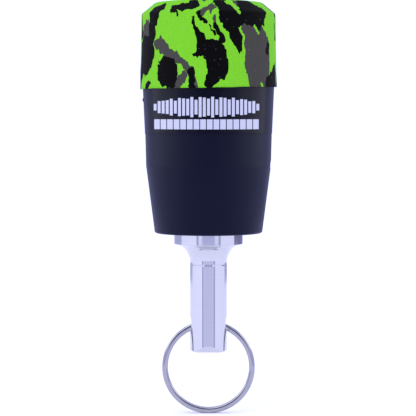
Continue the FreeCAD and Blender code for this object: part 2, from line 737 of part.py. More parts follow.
def spider():
    """A corrugated cloth disc that centres the voice coil."""
    inner_r = FORMER_R + COIL_FORMER_T
    outer_r = SPIDER_D / 2
    steps = 2 * SPIDER_WAVES
    lower = []
    for k in range(steps + 1):
        r = inner_r + (outer_r - SPIDER_SEAT_W - inner_r) * k / steps
        lower.append((r, SPIDER_Z + (SPIDER_WAVE if k % 2 else 0)))
    lower.append((outer_r, SPIDER_Z))
    upper = [(r, z + SPIDER_T) for r, z in reversed(lower)]
    return turned(lower + upper)


# ---- stem and ring ----
def stem():
    flange_r, shaft_r = FLANGE_D / 2, STEM_D / 2
    foot_r = flange_r - STEM_FILLET_FOOT
    fillet_low = -FLANGE_T - STEM_FILLET_H
    bow_in, bow_down = STEM_FILLET_BOW
    bow = point(shaft_r + (foot_r - shaft_r) * bow_in, 0, -FLANGE_T - STEM_FILLET_H * bow_down)
    sweep = Part.Arc(point(foot_r, 0, -FLANGE_T), bow, point(shaft_r, 0, fillet_low)).toShape()
    end_z = -STEM_LEN
    outline = [
        point(shaft_r, 0, fillet_low),
        point(shaft_r, 0, end_z + STEM_END_EDGE),
        point(shaft_r - STEM_END_EDGE, 0, end_z),
        point(0, 0, end_z),
        point(0, 0, STUD_Z1),
        point(STUD_D / 2 - STUD_EDGE, 0, STUD_Z1),
        point(STUD_D / 2, 0, STUD_Z1 - STUD_EDGE),
        point(STUD_D / 2, 0, 0),
        point(flange_r - FLANGE_EDGE, 0, 0),
        point(flange_r, 0, -FLANGE_EDGE),
        point(flange_r, 0, -FLANGE_T + FLANGE_EDGE),
        point(flange_r - FLANGE_EDGE, 0, -FLANGE_T),
        point(foot_r, 0, -FLANGE_T),
    ]
    lines = [Part.makeLine(a, b) for a, b in zip(outline, outline[1:])]
    bar = turned_shell([sweep] + lines)
    hole_r = CROSS_HOLE_D / 2
    bar = bar.cut(rod(hole_r, point(-REACH, 0, CROSS_HOLE_Z), point(REACH, 0, CROSS_HOLE_Z)))
    for side in (-1, 1):
        mouth = Part.makeCone(hole_r, hole_r + 2 * CROSS_HOLE_EDGE, 2 * CROSS_HOLE_EDGE,
                              point(side * (shaft_r - CROSS_HOLE_EDGE), 0, CROSS_HOLE_Z), X * side)
        bar = bar.cut(mouth)
        bar = bar.cut(end_bevel(side))
    return bar.cut(Part.makeTorus(O_RING_MEAN_D / 2, O_RING_SECTION / 2 + SLIP, point(0, 0, 0)))


def end_bevel(side):
    """The wedge taken off the front or the back of the stem's lower end."""
    edge_y, end_z = STEM_D / 2, -STEM_LEN
    corners = [(edge_y + 1, end_z + STEM_BEVEL_H * (1 + 1 / STEM_BEVEL_DEPTH)),
               (edge_y - STEM_BEVEL_DEPTH * 2, end_z - STEM_BEVEL_H),
               (edge_y + 1, end_z - STEM_BEVEL_H)]
    points = [point(-REACH, side * y, z) for y, z in corners]
    face = Part.Face(Part.makePolygon(points + points[:1]))
    return face.extrude(X * 2 * REACH)


def stem_o_ring():
    """The lower half of the O-ring's section lies in the stem's groove, flush with the flange."""
    cord = Part.makeTorus(O_RING_MEAN_D / 2, O_RING_SECTION / 2, point(0, 0, 0))
    return cord.common(disc(REACH, -O_RING_SECTION, 0))


def stem_washer():
    return ring(WASHER_D / 2, STUD_D / 2 + RUNNING, HOUSING_FLOOR, NUT_Z0)


def stem_nut():
    corner_r = NUT_FLATS / 2 / math.cos(math.pi / 6)
    corners = [point(corner_r * math.cos(math.pi * k / 3), corner_r * math.sin(math.pi * k / 3), NUT_Z0)
               for k in range(6)]
    block = Part.Face(Part.makePolygon(corners + corners[:1])).extrude(Z * NUT_T)
    top_r = corner_r - NUT_CHAMFER
    chamfer = Part.makeCone(top_r + NUT_T, top_r, NUT_T, point(0, 0, NUT_Z0))
    shaped = block.common(chamfer)
    return shaped.cut(disc(STUD_D / 2 + SLIP, NUT_Z0 - 1, NUT_Z0 + NUT_T + 1))


def ring_turn(y0, y1, start_deg, sweep_deg):
    """Part of one turn of the ring's rounded flat wire, between two depths."""
    x0, x1, r = RING_OD / 2 - RING_WIRE_W, RING_OD / 2, RING_WIRE_ROUND
    edges = []
    start = point(x0 + r, y0, 0)
    for centre_x, centre_y, turn in ((x1 - r, y0 + r, -45), (x1 - r, y1 - r, 45),
                                     (x0 + r, y1 - r, 135), (x0 + r, y0 + r, 225)):
        arc = [point(centre_x + r * math.cos(math.radians(a)), centre_y + r * math.sin(math.radians(a)), 0)
               for a in (turn - 45, turn, turn + 45)]
        edges.append(Part.makeLine(start, arc[0]))
        edges.append(Part.Arc(*arc).toShape())
        start = arc[2]
    turn = Part.Face(Part.Wire(edges)).revolve(point(0, 0, 0), Y, sweep_deg)
    turn.rotate(point(0, 0, 0), Y, start_deg)
    return turn


def split_ring():
    """Two turns of flat wire, joined where the wire steps over from one turn to the other."""
    gap = RING_TURN_GAP / 2
    turn_deg = 360 - RING_STEP_DEG - RING_END_GAP_DEG
    front_start = RING_STEP_AT_DEG + RING_STEP_DEG + RING_END_GAP_DEG
    front = ring_turn(-RING_TURN_T - gap, -gap, front_start, turn_deg)
    back = ring_turn(gap, RING_TURN_T + gap, RING_STEP_AT_DEG, turn_deg)
    step = ring_turn(-RING_TURN_T / 2, RING_TURN_T / 2, RING_STEP_AT_DEG - RING_STEP_DEG, 2 * RING_STEP_DEG)
    coil = joined([front, back, step])
    coil.translate(point(0, 0, RING_Z))
    return coil


# ---- battery, chassis and board ----
def battery_cell():
    body = disc(CELL_D / 2, CELL_Z0, CELL_Z1 - CELL_BUTTON_H, 0, CELL_Y)
    button = disc(CELL_D / 5, CELL_Z1 - CELL_BUTTON_H, CELL_Z1, 0, CELL_Y)
    return joined([body, button])


def battery_contacts():
    """A spring plate at each end of the cell, with a tag that reaches out to the right."""
    half_tag, half_w, half_depth = CONTACT_TAG_W / 2, CONTACT_W / 2, CONTACT_DEPTH / 2
    plates = []
    for z0 in (CELL_Z0 - CONTACT_T, CELL_Z1):
        plate = box(-half_w, half_w, CELL_Y - half_depth, CELL_Y + half_depth, z0, z0 + CONTACT_T)
        tag = box(0, TAG_X, CELL_Y - half_tag, CELL_Y + half_tag, z0, z0 + CONTACT_T)
        plates.append(joined([plate, tag]))
    return group(plates)


def chassis():
    z0 = CRADLE_Z0
    z1 = CELL_Z1 + CONTACT_T + CRADLE_END_T
    tube = disc(CRADLE_OUT_R, z0, z1, 0, CELL_Y)
    behind = box(-REACH, REACH, CELL_Y - CRADLE_LAP, CRADLE_BACK_Y, z0, z1)
    cradle = tube.common(behind)
    in_front = box(-REACH, REACH, -REACH, BOARD_Y - CRADLE_BOARD_GAP, z0, z1)
    ends = [disc(CRADLE_OUT_R, low, low + CRADLE_END_T, 0, CELL_Y).common(in_front)
            for low in (z0, z1 - CRADLE_END_T)]
    arms, posts = [], []
    for z in POST_HEIGHTS:
        arms.append(box(-POST_X, POST_X, CRADLE_BACK_Y - ARM_T, CRADLE_BACK_Y, z - ARM_H / 2, z + ARM_H / 2))
        for side in (-1, 1):
            posts.append(rod(POST_R, point(side * POST_X, CRADLE_BACK_Y - ARM_T, z),
                             point(side * POST_X, BOARD_Y, z)))
    feet = []
    for side in (-1, 1):
        foot_x = side * CHASSIS_FOOT_X
        feet.append(box(foot_x, side * (CHASSIS_SCREW_X + BOSS_R), CHASSIS_SCREW_Y - BOSS_R,
                        CRADLE_BACK_Y, CHASSIS_FOOT_Z, CRADLE_Z0))
        feet.append(box(foot_x, side * (CRADLE_OUT_R - CHASSIS_RIB_INSET), CELL_Y, CRADLE_BACK_Y,
                        CHASSIS_FOOT_Z, CRADLE_Z0 + CRADLE_END_T))
    body = joined([cradle] + ends + arms + posts + feet)
    body = body.cut(disc(CRADLE_IN_R, z0 + CRADLE_END_T, z1 - CRADLE_END_T, 0, CELL_Y))
    for side in (-1, 1):
        x = side * CHASSIS_SCREW_X
        body = body.cut(disc(M2_R + RUNNING, CHASSIS_FOOT_Z - 1, CRADLE_Z0 + 1, x, CHASSIS_SCREW_Y))
        for z in POST_HEIGHTS:
            start = point(side * POST_X, BOARD_Y, z)
            body = body.cut(rod(M2_R + SLIP, start + Y, start - Y * (M2_LEN - BOARD_T)))
    for z in (CELL_Z0 - CONTACT_T, CELL_Z1):
        body = body.cut(box(0, REACH, CELL_Y - CONTACT_TAG_W / 2 - SLIP, CELL_Y + CONTACT_TAG_W / 2 + SLIP,
                            z, z + CONTACT_T))
    return body


def screw(head_at, away):
    """A pan-head M2 screw whose head's underside is at head_at; away points out of the work."""
    shank = rod(M2_R, head_at, head_at - away * (M2_LEN - M2_TIP_GAP))
    head = rod(M2_HEAD_R, head_at, head_at + away * M2_HEAD_H)
    floor = head_at + away * (M2_HEAD_H - M2_RECESS_DEPTH)
    recess = rod(M2_RECESS_R, floor, floor + away)
    return joined([shank, head]).cut(recess)


def chassis_screws():
    return group([screw(point(side * CHASSIS_SCREW_X, CHASSIS_SCREW_Y, CRADLE_Z0), Z) for side in (-1, 1)])


def board_screws():
    return group([screw(point(side * POST_X, BOARD_BACK_Y, z), Y)
                  for side in (-1, 1) for z in POST_HEIGHTS])


def main_board():
    board = box(-BOARD_W / 2, BOARD_W / 2, BOARD_Y, BOARD_BACK_Y, BOARD_Z0, BOARD_Z1)
    for side in (-1, 1):
        for z in POST_HEIGHTS:
            board = board.cut(rod(M2_R + RUNNING, point(side * POST_X, BOARD_Y - 1, z),
                                  point(side * POST_X, BOARD_BACK_Y + 1, z)))
    return board


def chip(x, up, width, height, thick):
    """A flat component on the back of the board."""
    z = BOARD_Z0 + up
    return box(x - width / 2, x + width / 2, BOARD_BACK_Y, BOARD_BACK_Y + thick,
               z - height / 2, z + height / 2)


def board_capacitors():
    cans = []
    for x, up in CAPACITOR_PLACES:
        base = point(x, BOARD_BACK_Y, BOARD_Z0 + up)
        foot = chip(x, up, CAPACITOR_BASE, CAPACITOR_BASE, CAPACITOR_BASE_T)
        cans.append(joined([foot, rod(CAPACITOR_R, base + Y * CAPACITOR_BASE_T, base + Y * CAPACITOR_H)]))
    return group(cans)


def inductor():
    x, up = INDUCTOR_PLACE
    foot = point(x, BOARD_BACK_Y + INDUCTOR_BASE_T, BOARD_Z0 + up)
    top = foot + Y * INDUCTOR_CORE_H
    return joined([chip(x, up, INDUCTOR_BASE, INDUCTOR_BASE, INDUCTOR_BASE_T),
                   rod(INDUCTOR_CORE_R, foot, top), rod(INDUCTOR_CAP_R, top, top + Y * INDUCTOR_CAP_T)])


def usb_receptacle():
    """The charging socket's metal shell round its tongue, mouth towards +X."""
    half_w, half_h = PORT_SHELL_W / 2, PORT_SHELL_H / 2
    back_x = PORT_FACE_X - PORT_SHELL_L
    shell = box(back_x, PORT_FACE_X, CONTROL_Y - half_w, CONTROL_Y + half_w, PORT_Z - half_h, PORT_Z + half_h)
    along = [e for e in shell.Edges if e.BoundBox.XLength > PORT_SHELL_L - 0.1]
    shell = shell.makeFillet(half_w * PORT_ROUND, along)
    wall = PORT_SHELL_WALL
    in_w, in_h = half_w - wall, half_h - wall
    hollow = box(back_x + PORT_BACK_WALL, PORT_FACE_X + 1, CONTROL_Y - in_w, CONTROL_Y + in_w,
                 PORT_Z - in_h, PORT_Z + in_h)
    along = [e for e in hollow.Edges if e.BoundBox.XLength > PORT_SHELL_L - PORT_BACK_WALL]
    hollow = hollow.makeFillet(in_w * PORT_ROUND, along)
    tongue = box(back_x + PORT_BACK_WALL / 2, PORT_FACE_X - PORT_TONGUE_SHORT,
                 CONTROL_Y - PORT_TONGUE_T / 2, CONTROL_Y + PORT_TONGUE_T / 2,
                 PORT_Z - PORT_TONGUE_W / 2, PORT_Z + PORT_TONGUE_W / 2)
    return joined([shell.cut(hollow), tongue])


# ---- button, switch and indicator ----
def power_button():
    """A soft cap, flush with the housing, with one raised pip to find it by touch."""
    seat_x = -BUTTON_BOSS_X + RUNNING
    flange_in_x = seat_x + BUTTON_FLANGE_T
    centre = point(0, CONTROL_Y, BUTTON_Z)
    cap = rod(BUTTON_D / 2, centre + X * seat_x, centre - X * REACH).common(housing_outside())
    flange = rod(BUTTON_FLANGE_D / 2, centre + X * seat_x, centre + X * flange_in_x)
    post_end = -(SWITCH_FACE_X + PLUNGER_OUT + SLIP)
    post = rod(BUTTON_POST_R, centre + X * (flange_in_x - 0.1), centre + X * post_end)
    skin_x = math.sqrt(housing_radius(BUTTON_Z) ** 2 - CONTROL_Y ** 2)
    pip = rod(BUTTON_PIP_D / 2, centre - X * (skin_x - 0.5), centre - X * (skin_x + BUTTON_PIP_H))
    return joined([cap, flange, post, pip])


def button_seal():
    centre = point(0, CONTROL_Y, BUTTON_Z)
    x0, x1 = -(BUTTON_BOSS_X + RUNNING), -(BUTTON_BOSS_X + SEAL_T)
    outer = rod(BUTTON_D / 2 + RUNNING + SEAL_W - SLIP, centre + X * x0, centre + X * x1)
    return outer.cut(rod(BUTTON_D / 2 + RUNNING, centre + X * (x0 + 1), centre + X * (x1 - 1)))


def switch_case():
    case = box(-SWITCH_FACE_X, SWITCH_LEN - SWITCH_FACE_X, CONTROL_Y - SWITCH_HALF_W, BOARD_Y,
               BUTTON_Z - SWITCH_HALF_H, BUTTON_Z + SWITCH_HALF_H)
    centre = point(0, CONTROL_Y, BUTTON_Z)
    depth = PLUNGER_IN + BUTTON_TRAVEL + PLUNGER_END_GAP
    bore = rod(PLUNGER_D / 2 + RUNNING, centre - X * (SWITCH_FACE_X + 1),
               centre - X * (SWITCH_FACE_X - depth))
    return case.cut(bore)


def switch_plunger():
    centre = point(0, CONTROL_Y, BUTTON_Z)
    return rod(PLUNGER_D / 2, centre - X * (SWITCH_FACE_X + PLUNGER_OUT),
               centre - X * (SWITCH_FACE_X - PLUNGER_IN))


def status_led():
    return box(-LED_X - LED_SIZE / 2, -LED_X + LED_SIZE / 2, CONTROL_Y - LED_SIZE / 2, BOARD_Y,
               LED_Z - LED_SIZE / 2, LED_Z + LED_SIZE / 2)


def light_pipe():
    centre = point(0, CONTROL_Y, LED_Z)
    inner_x = -(LED_X + LED_SIZE / 2 + LIGHT_PIPE_GAP)
    pipe = rod(LIGHT_PIPE_D / 2, centre + X * inner_x, centre - X * REACH)
    return pipe.common(housing_outside())


# ---- port cover ----
def hinge_relief():
    """What is shaved off the flap's lower corner, so that it clears the housing when it hangs open."""
    hinge = hinge_centre()
    corners = [(HINGE_R, -HINGE_R), (HINGE_R, 0), (HINGE_R + HINGE_RELIEF, HINGE_RELIEF_H),
               (REACH, HINGE_RELIEF_H), (REACH, -HINGE_R)]
    points = [point(hinge.x + dx, -REACH, hinge.z + dz) for dx, dz in corners]
    return Part.Face(Part.makePolygon(points + points[:1])).extrude(Y * 2 * REACH)


def port_cover():
    """A flap flush with the housing, with a shallow plug for the slot and a barrel for its pin."""
    hinge = hinge_centre()
    half_w = COVER_W / 2
    flap = cover_block(0, RUNNING).common(housing_outside())
    flap = flap.cut(box(0, REACH, -REACH, REACH, 0, hinge.z)).cut(hinge_relief())
    barrel = hinge_rod(HINGE_R, half_w).common(cover_block(0, RUNNING))
    plug_w = PORT_SHELL_W / 2 + PORT_SLOT_EDGE - COVER_PLUG_EASE
    plug_h = PORT_SHELL_H / 2 + PORT_SLOT_EDGE - COVER_PLUG_EASE
    plug = box(COVER_FLOOR_X + RUNNING + COVER_PLUG_ROOT, COVER_FLOOR_X - COVER_PLUG_DEPTH,
               CONTROL_Y - plug_w, CONTROL_Y + plug_w, PORT_Z - plug_h + COVER_PLUG_HEEL, PORT_Z + plug_h)
    cover = joined([flap, barrel, plug])
    return cover.cut(hinge_rod(HINGE_PIN_D / 2 + SLIP, COVER_W))


def port_cover_pin():
    return hinge_rod(HINGE_PIN_D / 2, COVER_W / 2 + HINGE_PIN_OVERHANG - RUNNING)


# ---- plugs and leads ----
def socket(x, y_side):
    """A two-pin socket on the board: y_side 1 is the back of the board, -1 the front."""
    y0 = BOARD_BACK_Y if y_side > 0 else BOARD_Y
    return box(x - SOCKET_W / 2, x + SOCKET_W / 2, y0, y0 + y_side * SOCKET_D,
               SOCKET_Z - SOCKET_DOWN, SOCKET_Z + SOCKET_H - SOCKET_DOWN)


def lead(route):
    """A round lead along straight runs joined by tangent arcs, each as large as its runs allow."""
    edges = []
    start = route[0]
    for before, corner, after in zip(route, route[1:], route[2:]):
        run_in, run_out = corner - before, after - corner
        turn = run_in.getAngle(run_out)
        back = 0.45 * min(run_in.Length, run_out.Length)
        radius = back / math.tan(turn / 2)
        run_in.normalize()
        run_out.normalize()
        inward = (run_out - run_in).normalize()
        middle = corner + inward * (radius / math.cos(turn / 2) - radius)
        edges.append(Part.makeLine(start, corner - run_in * back))
        edges.append(Part.Arc(corner - run_in * back, middle, corner + run_out * back).toShape())
        start = corner + run_out * back
    edges.append(Part.makeLine(start, route[-1]))
    profile = Part.Wire(Part.makeCircle(LEAD_D / 2, route[0], route[1] - route[0]))
    return Part.Wire(edges).makePipeShell([profile], True, False)


def speaker_lead(side):
    x0, x1 = SPEAKER_SOCKET_X + side * LEAD_PITCH / 2, side * TERMINAL_W / 4
    z0 = SOCKET_Z + LEAD_UP_SOCKET
    y0 = BOARD_BACK_Y + SOCKET_D
    y1 = TERMINAL_Y - TAG_END
    z1 = z0 + LEAD_RISE
    return lead([point(x0, y0, z0), point(x0, y0 + LEAD_OUT, z0),
                 point(x0 + 0.4 * (x1 - x0), housing_radius(z1) - HOUSING_WALL - LEAD_WALL_GAP, z1),
                 point(x1, y1, (z0 + 2 * BASKET_Z0) / 3), point(x1, y1, BASKET_Z0)])


def battery_lead_red():
    y0 = BOARD_Y - SOCKET_D
    x0 = TAG_X - TAG_END
    z0 = CELL_Z1 - LEAD_UNDER_TAG
    return lead([point(x0, y0, z0), point(x0, CELL_Y, z0), point(x0, CELL_Y, CELL_Z1)])


def battery_lead_black():
    y0 = BOARD_Y - SOCKET_D
    x0, x1 = TAG_X - TAG_END, TAG_X - TAG_END + LEAD_PITCH
    z0 = CELL_Z1 - LEAD_UNDER_TAG
    return lead([point(x1, y0, z0), point(x1, CELL_Y + 1.2, z0), point(x1, CELL_Y, z0 - 6.0),
                 point(x1, CELL_Y, CELL_Z0 + 9.0), point(x0, CELL_Y, CELL_Z0 + 4.5),
                 point(x0, CELL_Y, CELL_Z0)])


NODES = {
    "main_housing": main_housing,
    "label_panel": label_panel,
    "bezel_ring": bezel_ring,
    "grille": grille,
    "grille_retainer": grille_retainer,
    "camo_sleeve": camo_sleeve,
    "speaker_gasket": speaker_gasket,
    "speaker_basket": speaker_basket,
    "speaker_top_plate": speaker_top_plate,
    "speaker_magnet": speaker_magnet,
    "speaker_yoke": speaker_yoke,
    "speaker_terminals": speaker_terminals,
    "voice_coil": voice_coil,
    "speaker_cone": speaker_cone,
    "dust_cap": dust_cap,
    "surround": surround,
    "spider": spider,
    "stem": stem,
    "stem_o_ring": stem_o_ring,
    "stem_washer": stem_washer,
    "stem_nut": stem_nut,
    "split_ring": split_ring,
    "battery_cell": battery_cell,
    "battery_contacts": battery_contacts,
    "chassis": chassis,
    "chassis_screws": chassis_screws,
    "main_board": main_board,
    "board_screws": board_screws,
    "processor_chip": lambda: chip(*PROCESSOR),
    "amplifier_chip": lambda: chip(*AMPLIFIER),
    "memory_chip": lambda: chip(*MEMORY),
    "radio_module": lambda: chip(*RADIO),
    "board_capacitors": board_capacitors,
    "inductor": inductor,
    "usb_receptacle": usb_receptacle,
    "port_cover": port_cover,
    "port_cover_pin": port_cover_pin,
    "power_button": power_button,
    "button_seal": button_seal,
    "switch_case": switch_case,
    "switch_plunger": switch_plunger,
    "status_led": status_led,
    "light_pipe": light_pipe,
    "speaker_socket": lambda: socket(SPEAKER_SOCKET_X, 1),
    "battery_socket": lambda: socket(BATTERY_SOCKET_X, -1),
    "speaker_lead_red": lambda: speaker_lead(1),
    "speaker_lead_black": lambda: speaker_lead(-1),
    "battery_lead_red": battery_lead_red,
    "battery_lead_black": battery_lead_black,
}

os.makedirs(PARTS_DIR, exist_ok=True)
for name, make in NODES.items():
    shape = make()
    shape.exportStep(os.path.join(PARTS_DIR, name + ".step"))
    print(name, len(shape.Solids), round(shape.Volume, 2), shape.isValid())
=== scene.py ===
"""A hand-held electronic game caller: a tapered black housing with a loudspeaker under a camouflage
sleeve, a turned steel stem and a split ring. Metres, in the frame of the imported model."""

import math
import random

import bmesh
import bpy
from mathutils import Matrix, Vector


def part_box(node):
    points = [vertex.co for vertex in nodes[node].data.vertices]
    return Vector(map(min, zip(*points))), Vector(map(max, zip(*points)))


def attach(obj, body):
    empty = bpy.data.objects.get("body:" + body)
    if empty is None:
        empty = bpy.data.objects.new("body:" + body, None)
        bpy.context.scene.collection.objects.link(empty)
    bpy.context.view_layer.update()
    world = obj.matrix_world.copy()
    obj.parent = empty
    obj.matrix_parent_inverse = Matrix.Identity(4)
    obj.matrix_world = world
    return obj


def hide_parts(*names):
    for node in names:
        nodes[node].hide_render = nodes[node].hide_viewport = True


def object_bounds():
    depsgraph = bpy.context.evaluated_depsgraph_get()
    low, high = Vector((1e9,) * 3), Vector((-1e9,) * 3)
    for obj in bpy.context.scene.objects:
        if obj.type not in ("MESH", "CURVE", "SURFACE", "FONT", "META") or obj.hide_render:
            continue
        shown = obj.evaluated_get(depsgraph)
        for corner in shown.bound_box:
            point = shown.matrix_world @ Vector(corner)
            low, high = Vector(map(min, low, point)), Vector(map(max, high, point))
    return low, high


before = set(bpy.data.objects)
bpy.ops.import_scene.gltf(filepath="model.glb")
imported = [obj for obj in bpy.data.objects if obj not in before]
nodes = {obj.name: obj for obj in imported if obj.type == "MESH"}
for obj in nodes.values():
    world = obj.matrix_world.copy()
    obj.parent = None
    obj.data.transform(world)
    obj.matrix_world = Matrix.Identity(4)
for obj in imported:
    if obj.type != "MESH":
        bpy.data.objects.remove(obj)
cad_low, cad_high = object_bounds()

# ---- camera ----
# The caller stands upright, and the camera looks slightly down at it from the front. It stands well
# back with a long lens, so the taper of the housing reads true.
MM = 0.001
VIEW_HEIGHT = 142.0 * MM
CAMERA_DISTANCE = 683.0 * MM
CAMERA_RISE = 33.5 * MM
AIM_ASIDE = 0.17 * MM
AIM_UNDER_MIDDLE = 0.33 * MM
SENSOR = 36.0

middle = (cad_low + cad_high) / 2
aim = Vector((middle.x - AIM_ASIDE, 0, middle.z - AIM_UNDER_MIDDLE))
lens = bpy.data.cameras.new("camera")
lens.sensor_width = SENSOR
lens.lens = SENSOR * CAMERA_DISTANCE / VIEW_HEIGHT
camera = bpy.data.objects.new("camera", lens)
camera.location = aim + Vector((0, -CAMERA_DISTANCE, CAMERA_RISE))
camera.rotation_euler = (aim - camera.location).to_track_quat("-Z", "Y").to_euler()
bpy.context.scene.collection.objects.link(camera)
bpy.context.scene.camera = camera
bpy.context.scene.view_settings.view_transform = "Standard"

# ---- light tent and table ----
# White cloth lights the caller evenly from all round, with a faint lavender cast. It stands on
# opal acrylic that is lit from below, so its shadow is hardly there.
TENT_LIGHT = "#DCDFFF"
TENT_STRENGTH = 1.42
TABLE_RADIUS = 1.6
TABLE_SIDES = 96
TABLE_GLOW = 0.12
TABLE_GAP = 0.02 * MM
TABLE_WHITE = "#F4F4F8"
TABLE_GLOW_WHITE = "#F4F4FF"
SOFTBOX_WHITE = "#F4F5FF"
SOFTBOX_POWER = 2.0
SOFTBOX_SIZE = (0.9, 0.7)
SOFTBOX_AT = (-0.35, -0.55, 0.75)


def linear(hex_colour):
    """The linear colour of an sRGB hex value."""
    parts = [int(hex_colour[k:k + 2], 16) / 255 for k in (1, 3, 5)]
    parts = [p / 12.92 if p <= 0.04045 else ((p + 0.055) / 1.055) ** 2.4 for p in parts]
    return (*parts, 1.0)


def add_node(tree, kind, inputs=None, **settings):
    """Adds a node with its settings, sets or links its inputs, and returns its outputs."""
    made = tree.nodes.new(kind)
    for name, value in settings.items():
        setattr(made, name, value)
    for name, value in (inputs or {}).items():
        for item in value if isinstance(value, list) else [value]:
            if isinstance(item, bpy.types.NodeSocket):
                tree.links.new(item, made.inputs[name])
            else:
                made.inputs[name].default_value = item
    return made.outputs


def mesh_piece(name, points, faces, smooth=True):
    """A mesh object at the origin, with its place in its points."""
    mesh = bpy.data.meshes.new(name)
    mesh.from_pydata(points, [], faces)
    mesh.validate()
    for polygon in mesh.polygons:
        polygon.use_smooth = smooth
    made = bpy.data.objects.new(name, mesh)
    bpy.context.scene.collection.objects.link(made)
    return made


def new_material(name, **constants):
    """A material, its node tree and its shader, with the shader's constants set on its sockets."""
    made = bpy.data.materials.new(name)
    made.use_nodes = True
    shader = made.node_tree.nodes["Principled BSDF"]
    for key, value in constants.items():
        shader.inputs[key.replace("_", " ")].default_value = value
    return made, made.node_tree, shader


world = bpy.data.worlds.new("light_tent")
world.use_nodes = True
world.node_tree.nodes["Background"].inputs["Color"].default_value = linear(TENT_LIGHT)
world.node_tree.nodes["Background"].inputs["Strength"].default_value = TENT_STRENGTH
bpy.context.scene.world = world

table_z = cad_low.z - TABLE_GAP
table_points = [(0, 0, table_z)]
table_faces = []
for k in range(TABLE_SIDES):
    a = 2 * math.pi * k / TABLE_SIDES
    table_points.append((TABLE_RADIUS * math.cos(a), TABLE_RADIUS * math.sin(a), table_z))
    table_faces.append((0, 1 + k, 1 + (k + 1) % TABLE_SIDES))
table = mesh_piece("table", table_points, table_faces, smooth=False)
table.data.materials.append(new_material(
    "opal_acrylic_table", Roughness=0.6, Specular_IOR_Level=0.0, Base_Color=linear(TABLE_WHITE),
    Emission_Color=linear(TABLE_GLOW_WHITE), Emission_Strength=TABLE_GLOW)[0])

softbox = bpy.data.lights.new("top_softbox", "AREA")
softbox.shape = "RECTANGLE"
softbox.size, softbox.size_y = SOFTBOX_SIZE
softbox.energy = SOFTBOX_POWER
softbox.color = linear(SOFTBOX_WHITE)[:3]
softbox_lamp = bpy.data.objects.new("top_softbox", softbox)
softbox_lamp.location = SOFTBOX_AT
softbox_lamp.rotation_euler = (aim - softbox_lamp.location).to_track_quat("-Z", "Y").to_euler()
bpy.context.scene.collection.objects.link(softbox_lamp)

# ---- reflector cards ----
# Bright metal only shows its shape by what it reflects, so grey cards, cloth and mats stand round the
# caller, out of the picture, with the camera's own dark body. A bright strip box at each side gives
# the black housing its edges.
CARDS = {
    # name: from and to in degrees round from the front, near distance and height, far ones, colour
    "lens_card": (-33, 33, 400, -61.5, 400, -30, "#C6C9F0"),
    "lens_mat": (-33, 33, 140, -61.6, 400, -61.5, "#C6C9F0"),
    "left_gap": (-40, -33, 400, -61.5, 400, -18, "#A2A5CC"),
    "left_mat_gap": (-40, -33, 140, -61.6, 400, -61.5, "#A2A5CC"),
    "right_gap": (33, 41, 400, -61.5, 400, -18, "#A2A5CC"),
    "right_mat_gap": (33, 41, 140, -61.6, 400, -61.5, "#A2A5CC"),
    "camera_body": (-22, 22, 560, -30, 560, 260, "#050508"),
    "left_cloth": (-168, -118, 520, -61, 520, 420, "#B0B2D8"),
    "right_cloth": (118, 168, 520, -61, 520, 420, "#A6A8CC"),
    "left_flange_card": (-150, -98, 130, -13.0, 130, -4.0, "#A6AAD4"),
    "right_flange_card": (92, 150, 130, -13.0, 130, -4.0, "#72729A"),
    "left_strip_box": (-108, -52, 180, 2, 180, 110, "#FFFFFF"),
    "right_strip_box": (52, 112, 180, 2, 180, 110, "#FFFFFF"),
    "flange_front_card": (-19, 19, 130, -13.0, 130, -4.0, "#B4B8E4"),
}
CARD_STEP_DEG = 4
STRIP_STRENGTH = 2.6


def reflector_card(name, start, end, near, bottom, far, top, colour):
    """A card bent round the caller's axis, that shows in reflections only."""
    count = max(2, math.ceil((end - start) / CARD_STEP_DEG) + 1)
    points, faces = [], []
    for n in range(count):
        angle = math.radians(start + (end - start) * n / (count - 1))
        for away, z in ((near, bottom), (far, top)):
            points.append((away * math.sin(angle) * MM, -away * math.cos(angle) * MM, z * MM))
    for n in range(count - 1):
        faces.append((2 * n, 2 * n + 2, 2 * n + 3, 2 * n + 1))
    made = mesh_piece(name, points, faces)
    paint = bpy.data.materials.new(name)
    paint.use_nodes = True
    paint.node_tree.nodes.clear()
    strength = STRIP_STRENGTH if "strip" in name else TENT_STRENGTH
    glow = add_node(paint.node_tree, "ShaderNodeEmission", {"Color": linear(colour), "Strength": strength})
    add_node(paint.node_tree, "ShaderNodeOutputMaterial", {"Surface": glow[0]})
    made.data.materials.append(paint)
    made.visible_camera = False
    made.visible_shadow = False
    made.visible_diffuse = False


for card_name, card_values in CARDS.items():
    reflector_card(card_name, *card_values)

# ---- main housing ----
# The housing is one moulding of black ABS, tapered so that it draws from its mould. The mould was
# spark-eroded, which gives it an even satin grain that scatters light softly.
ABS_GRAIN_MM = 0.22
ABS_CLOUD_MM = 9.0
SATIN_SHEEN = "#B4BAFF"


def millimetres(tree):
    """Object coordinates in millimetres."""
    place = add_node(tree, "ShaderNodeTexCoord")["Object"]
    return add_node(tree, "ShaderNodeVectorMath", {0: place, "Scale": 1 / MM}, operation="SCALE")[0]


def finish(tree, shader, tint, colours, gloss, roughness, relief, depth_mm):
    """Drives a surface's tint, gloss and relief from patterns that run from 0 to 1."""
    dark, light = (linear(colour) for colour in colours)
    mixed = add_node(tree, "ShaderNodeMix", {0: tint, 6: dark, 7: light}, data_type="RGBA")
    tree.links.new(mixed[2], shader.inputs["Base Color"])
    spread_out = add_node(tree, "ShaderNodeMapRange", {"Value": gloss, "To Min": roughness[0],
                                                       "To Max": roughness[1]})
    tree.links.new(spread_out[0], shader.inputs["Roughness"])
    raised = add_node(tree, "ShaderNodeBump", {"Height": relief, "Distance": depth_mm * MM})
    tree.links.new(raised[0], shader.inputs["Normal"])


def paint_nodes(made, *names):
    """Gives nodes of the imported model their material."""
    for name in names:
        if len(nodes[name].material_slots) == 0:
            nodes[name].data.materials.append(made)
        for slot in nodes[name].material_slots:
            slot.material = made


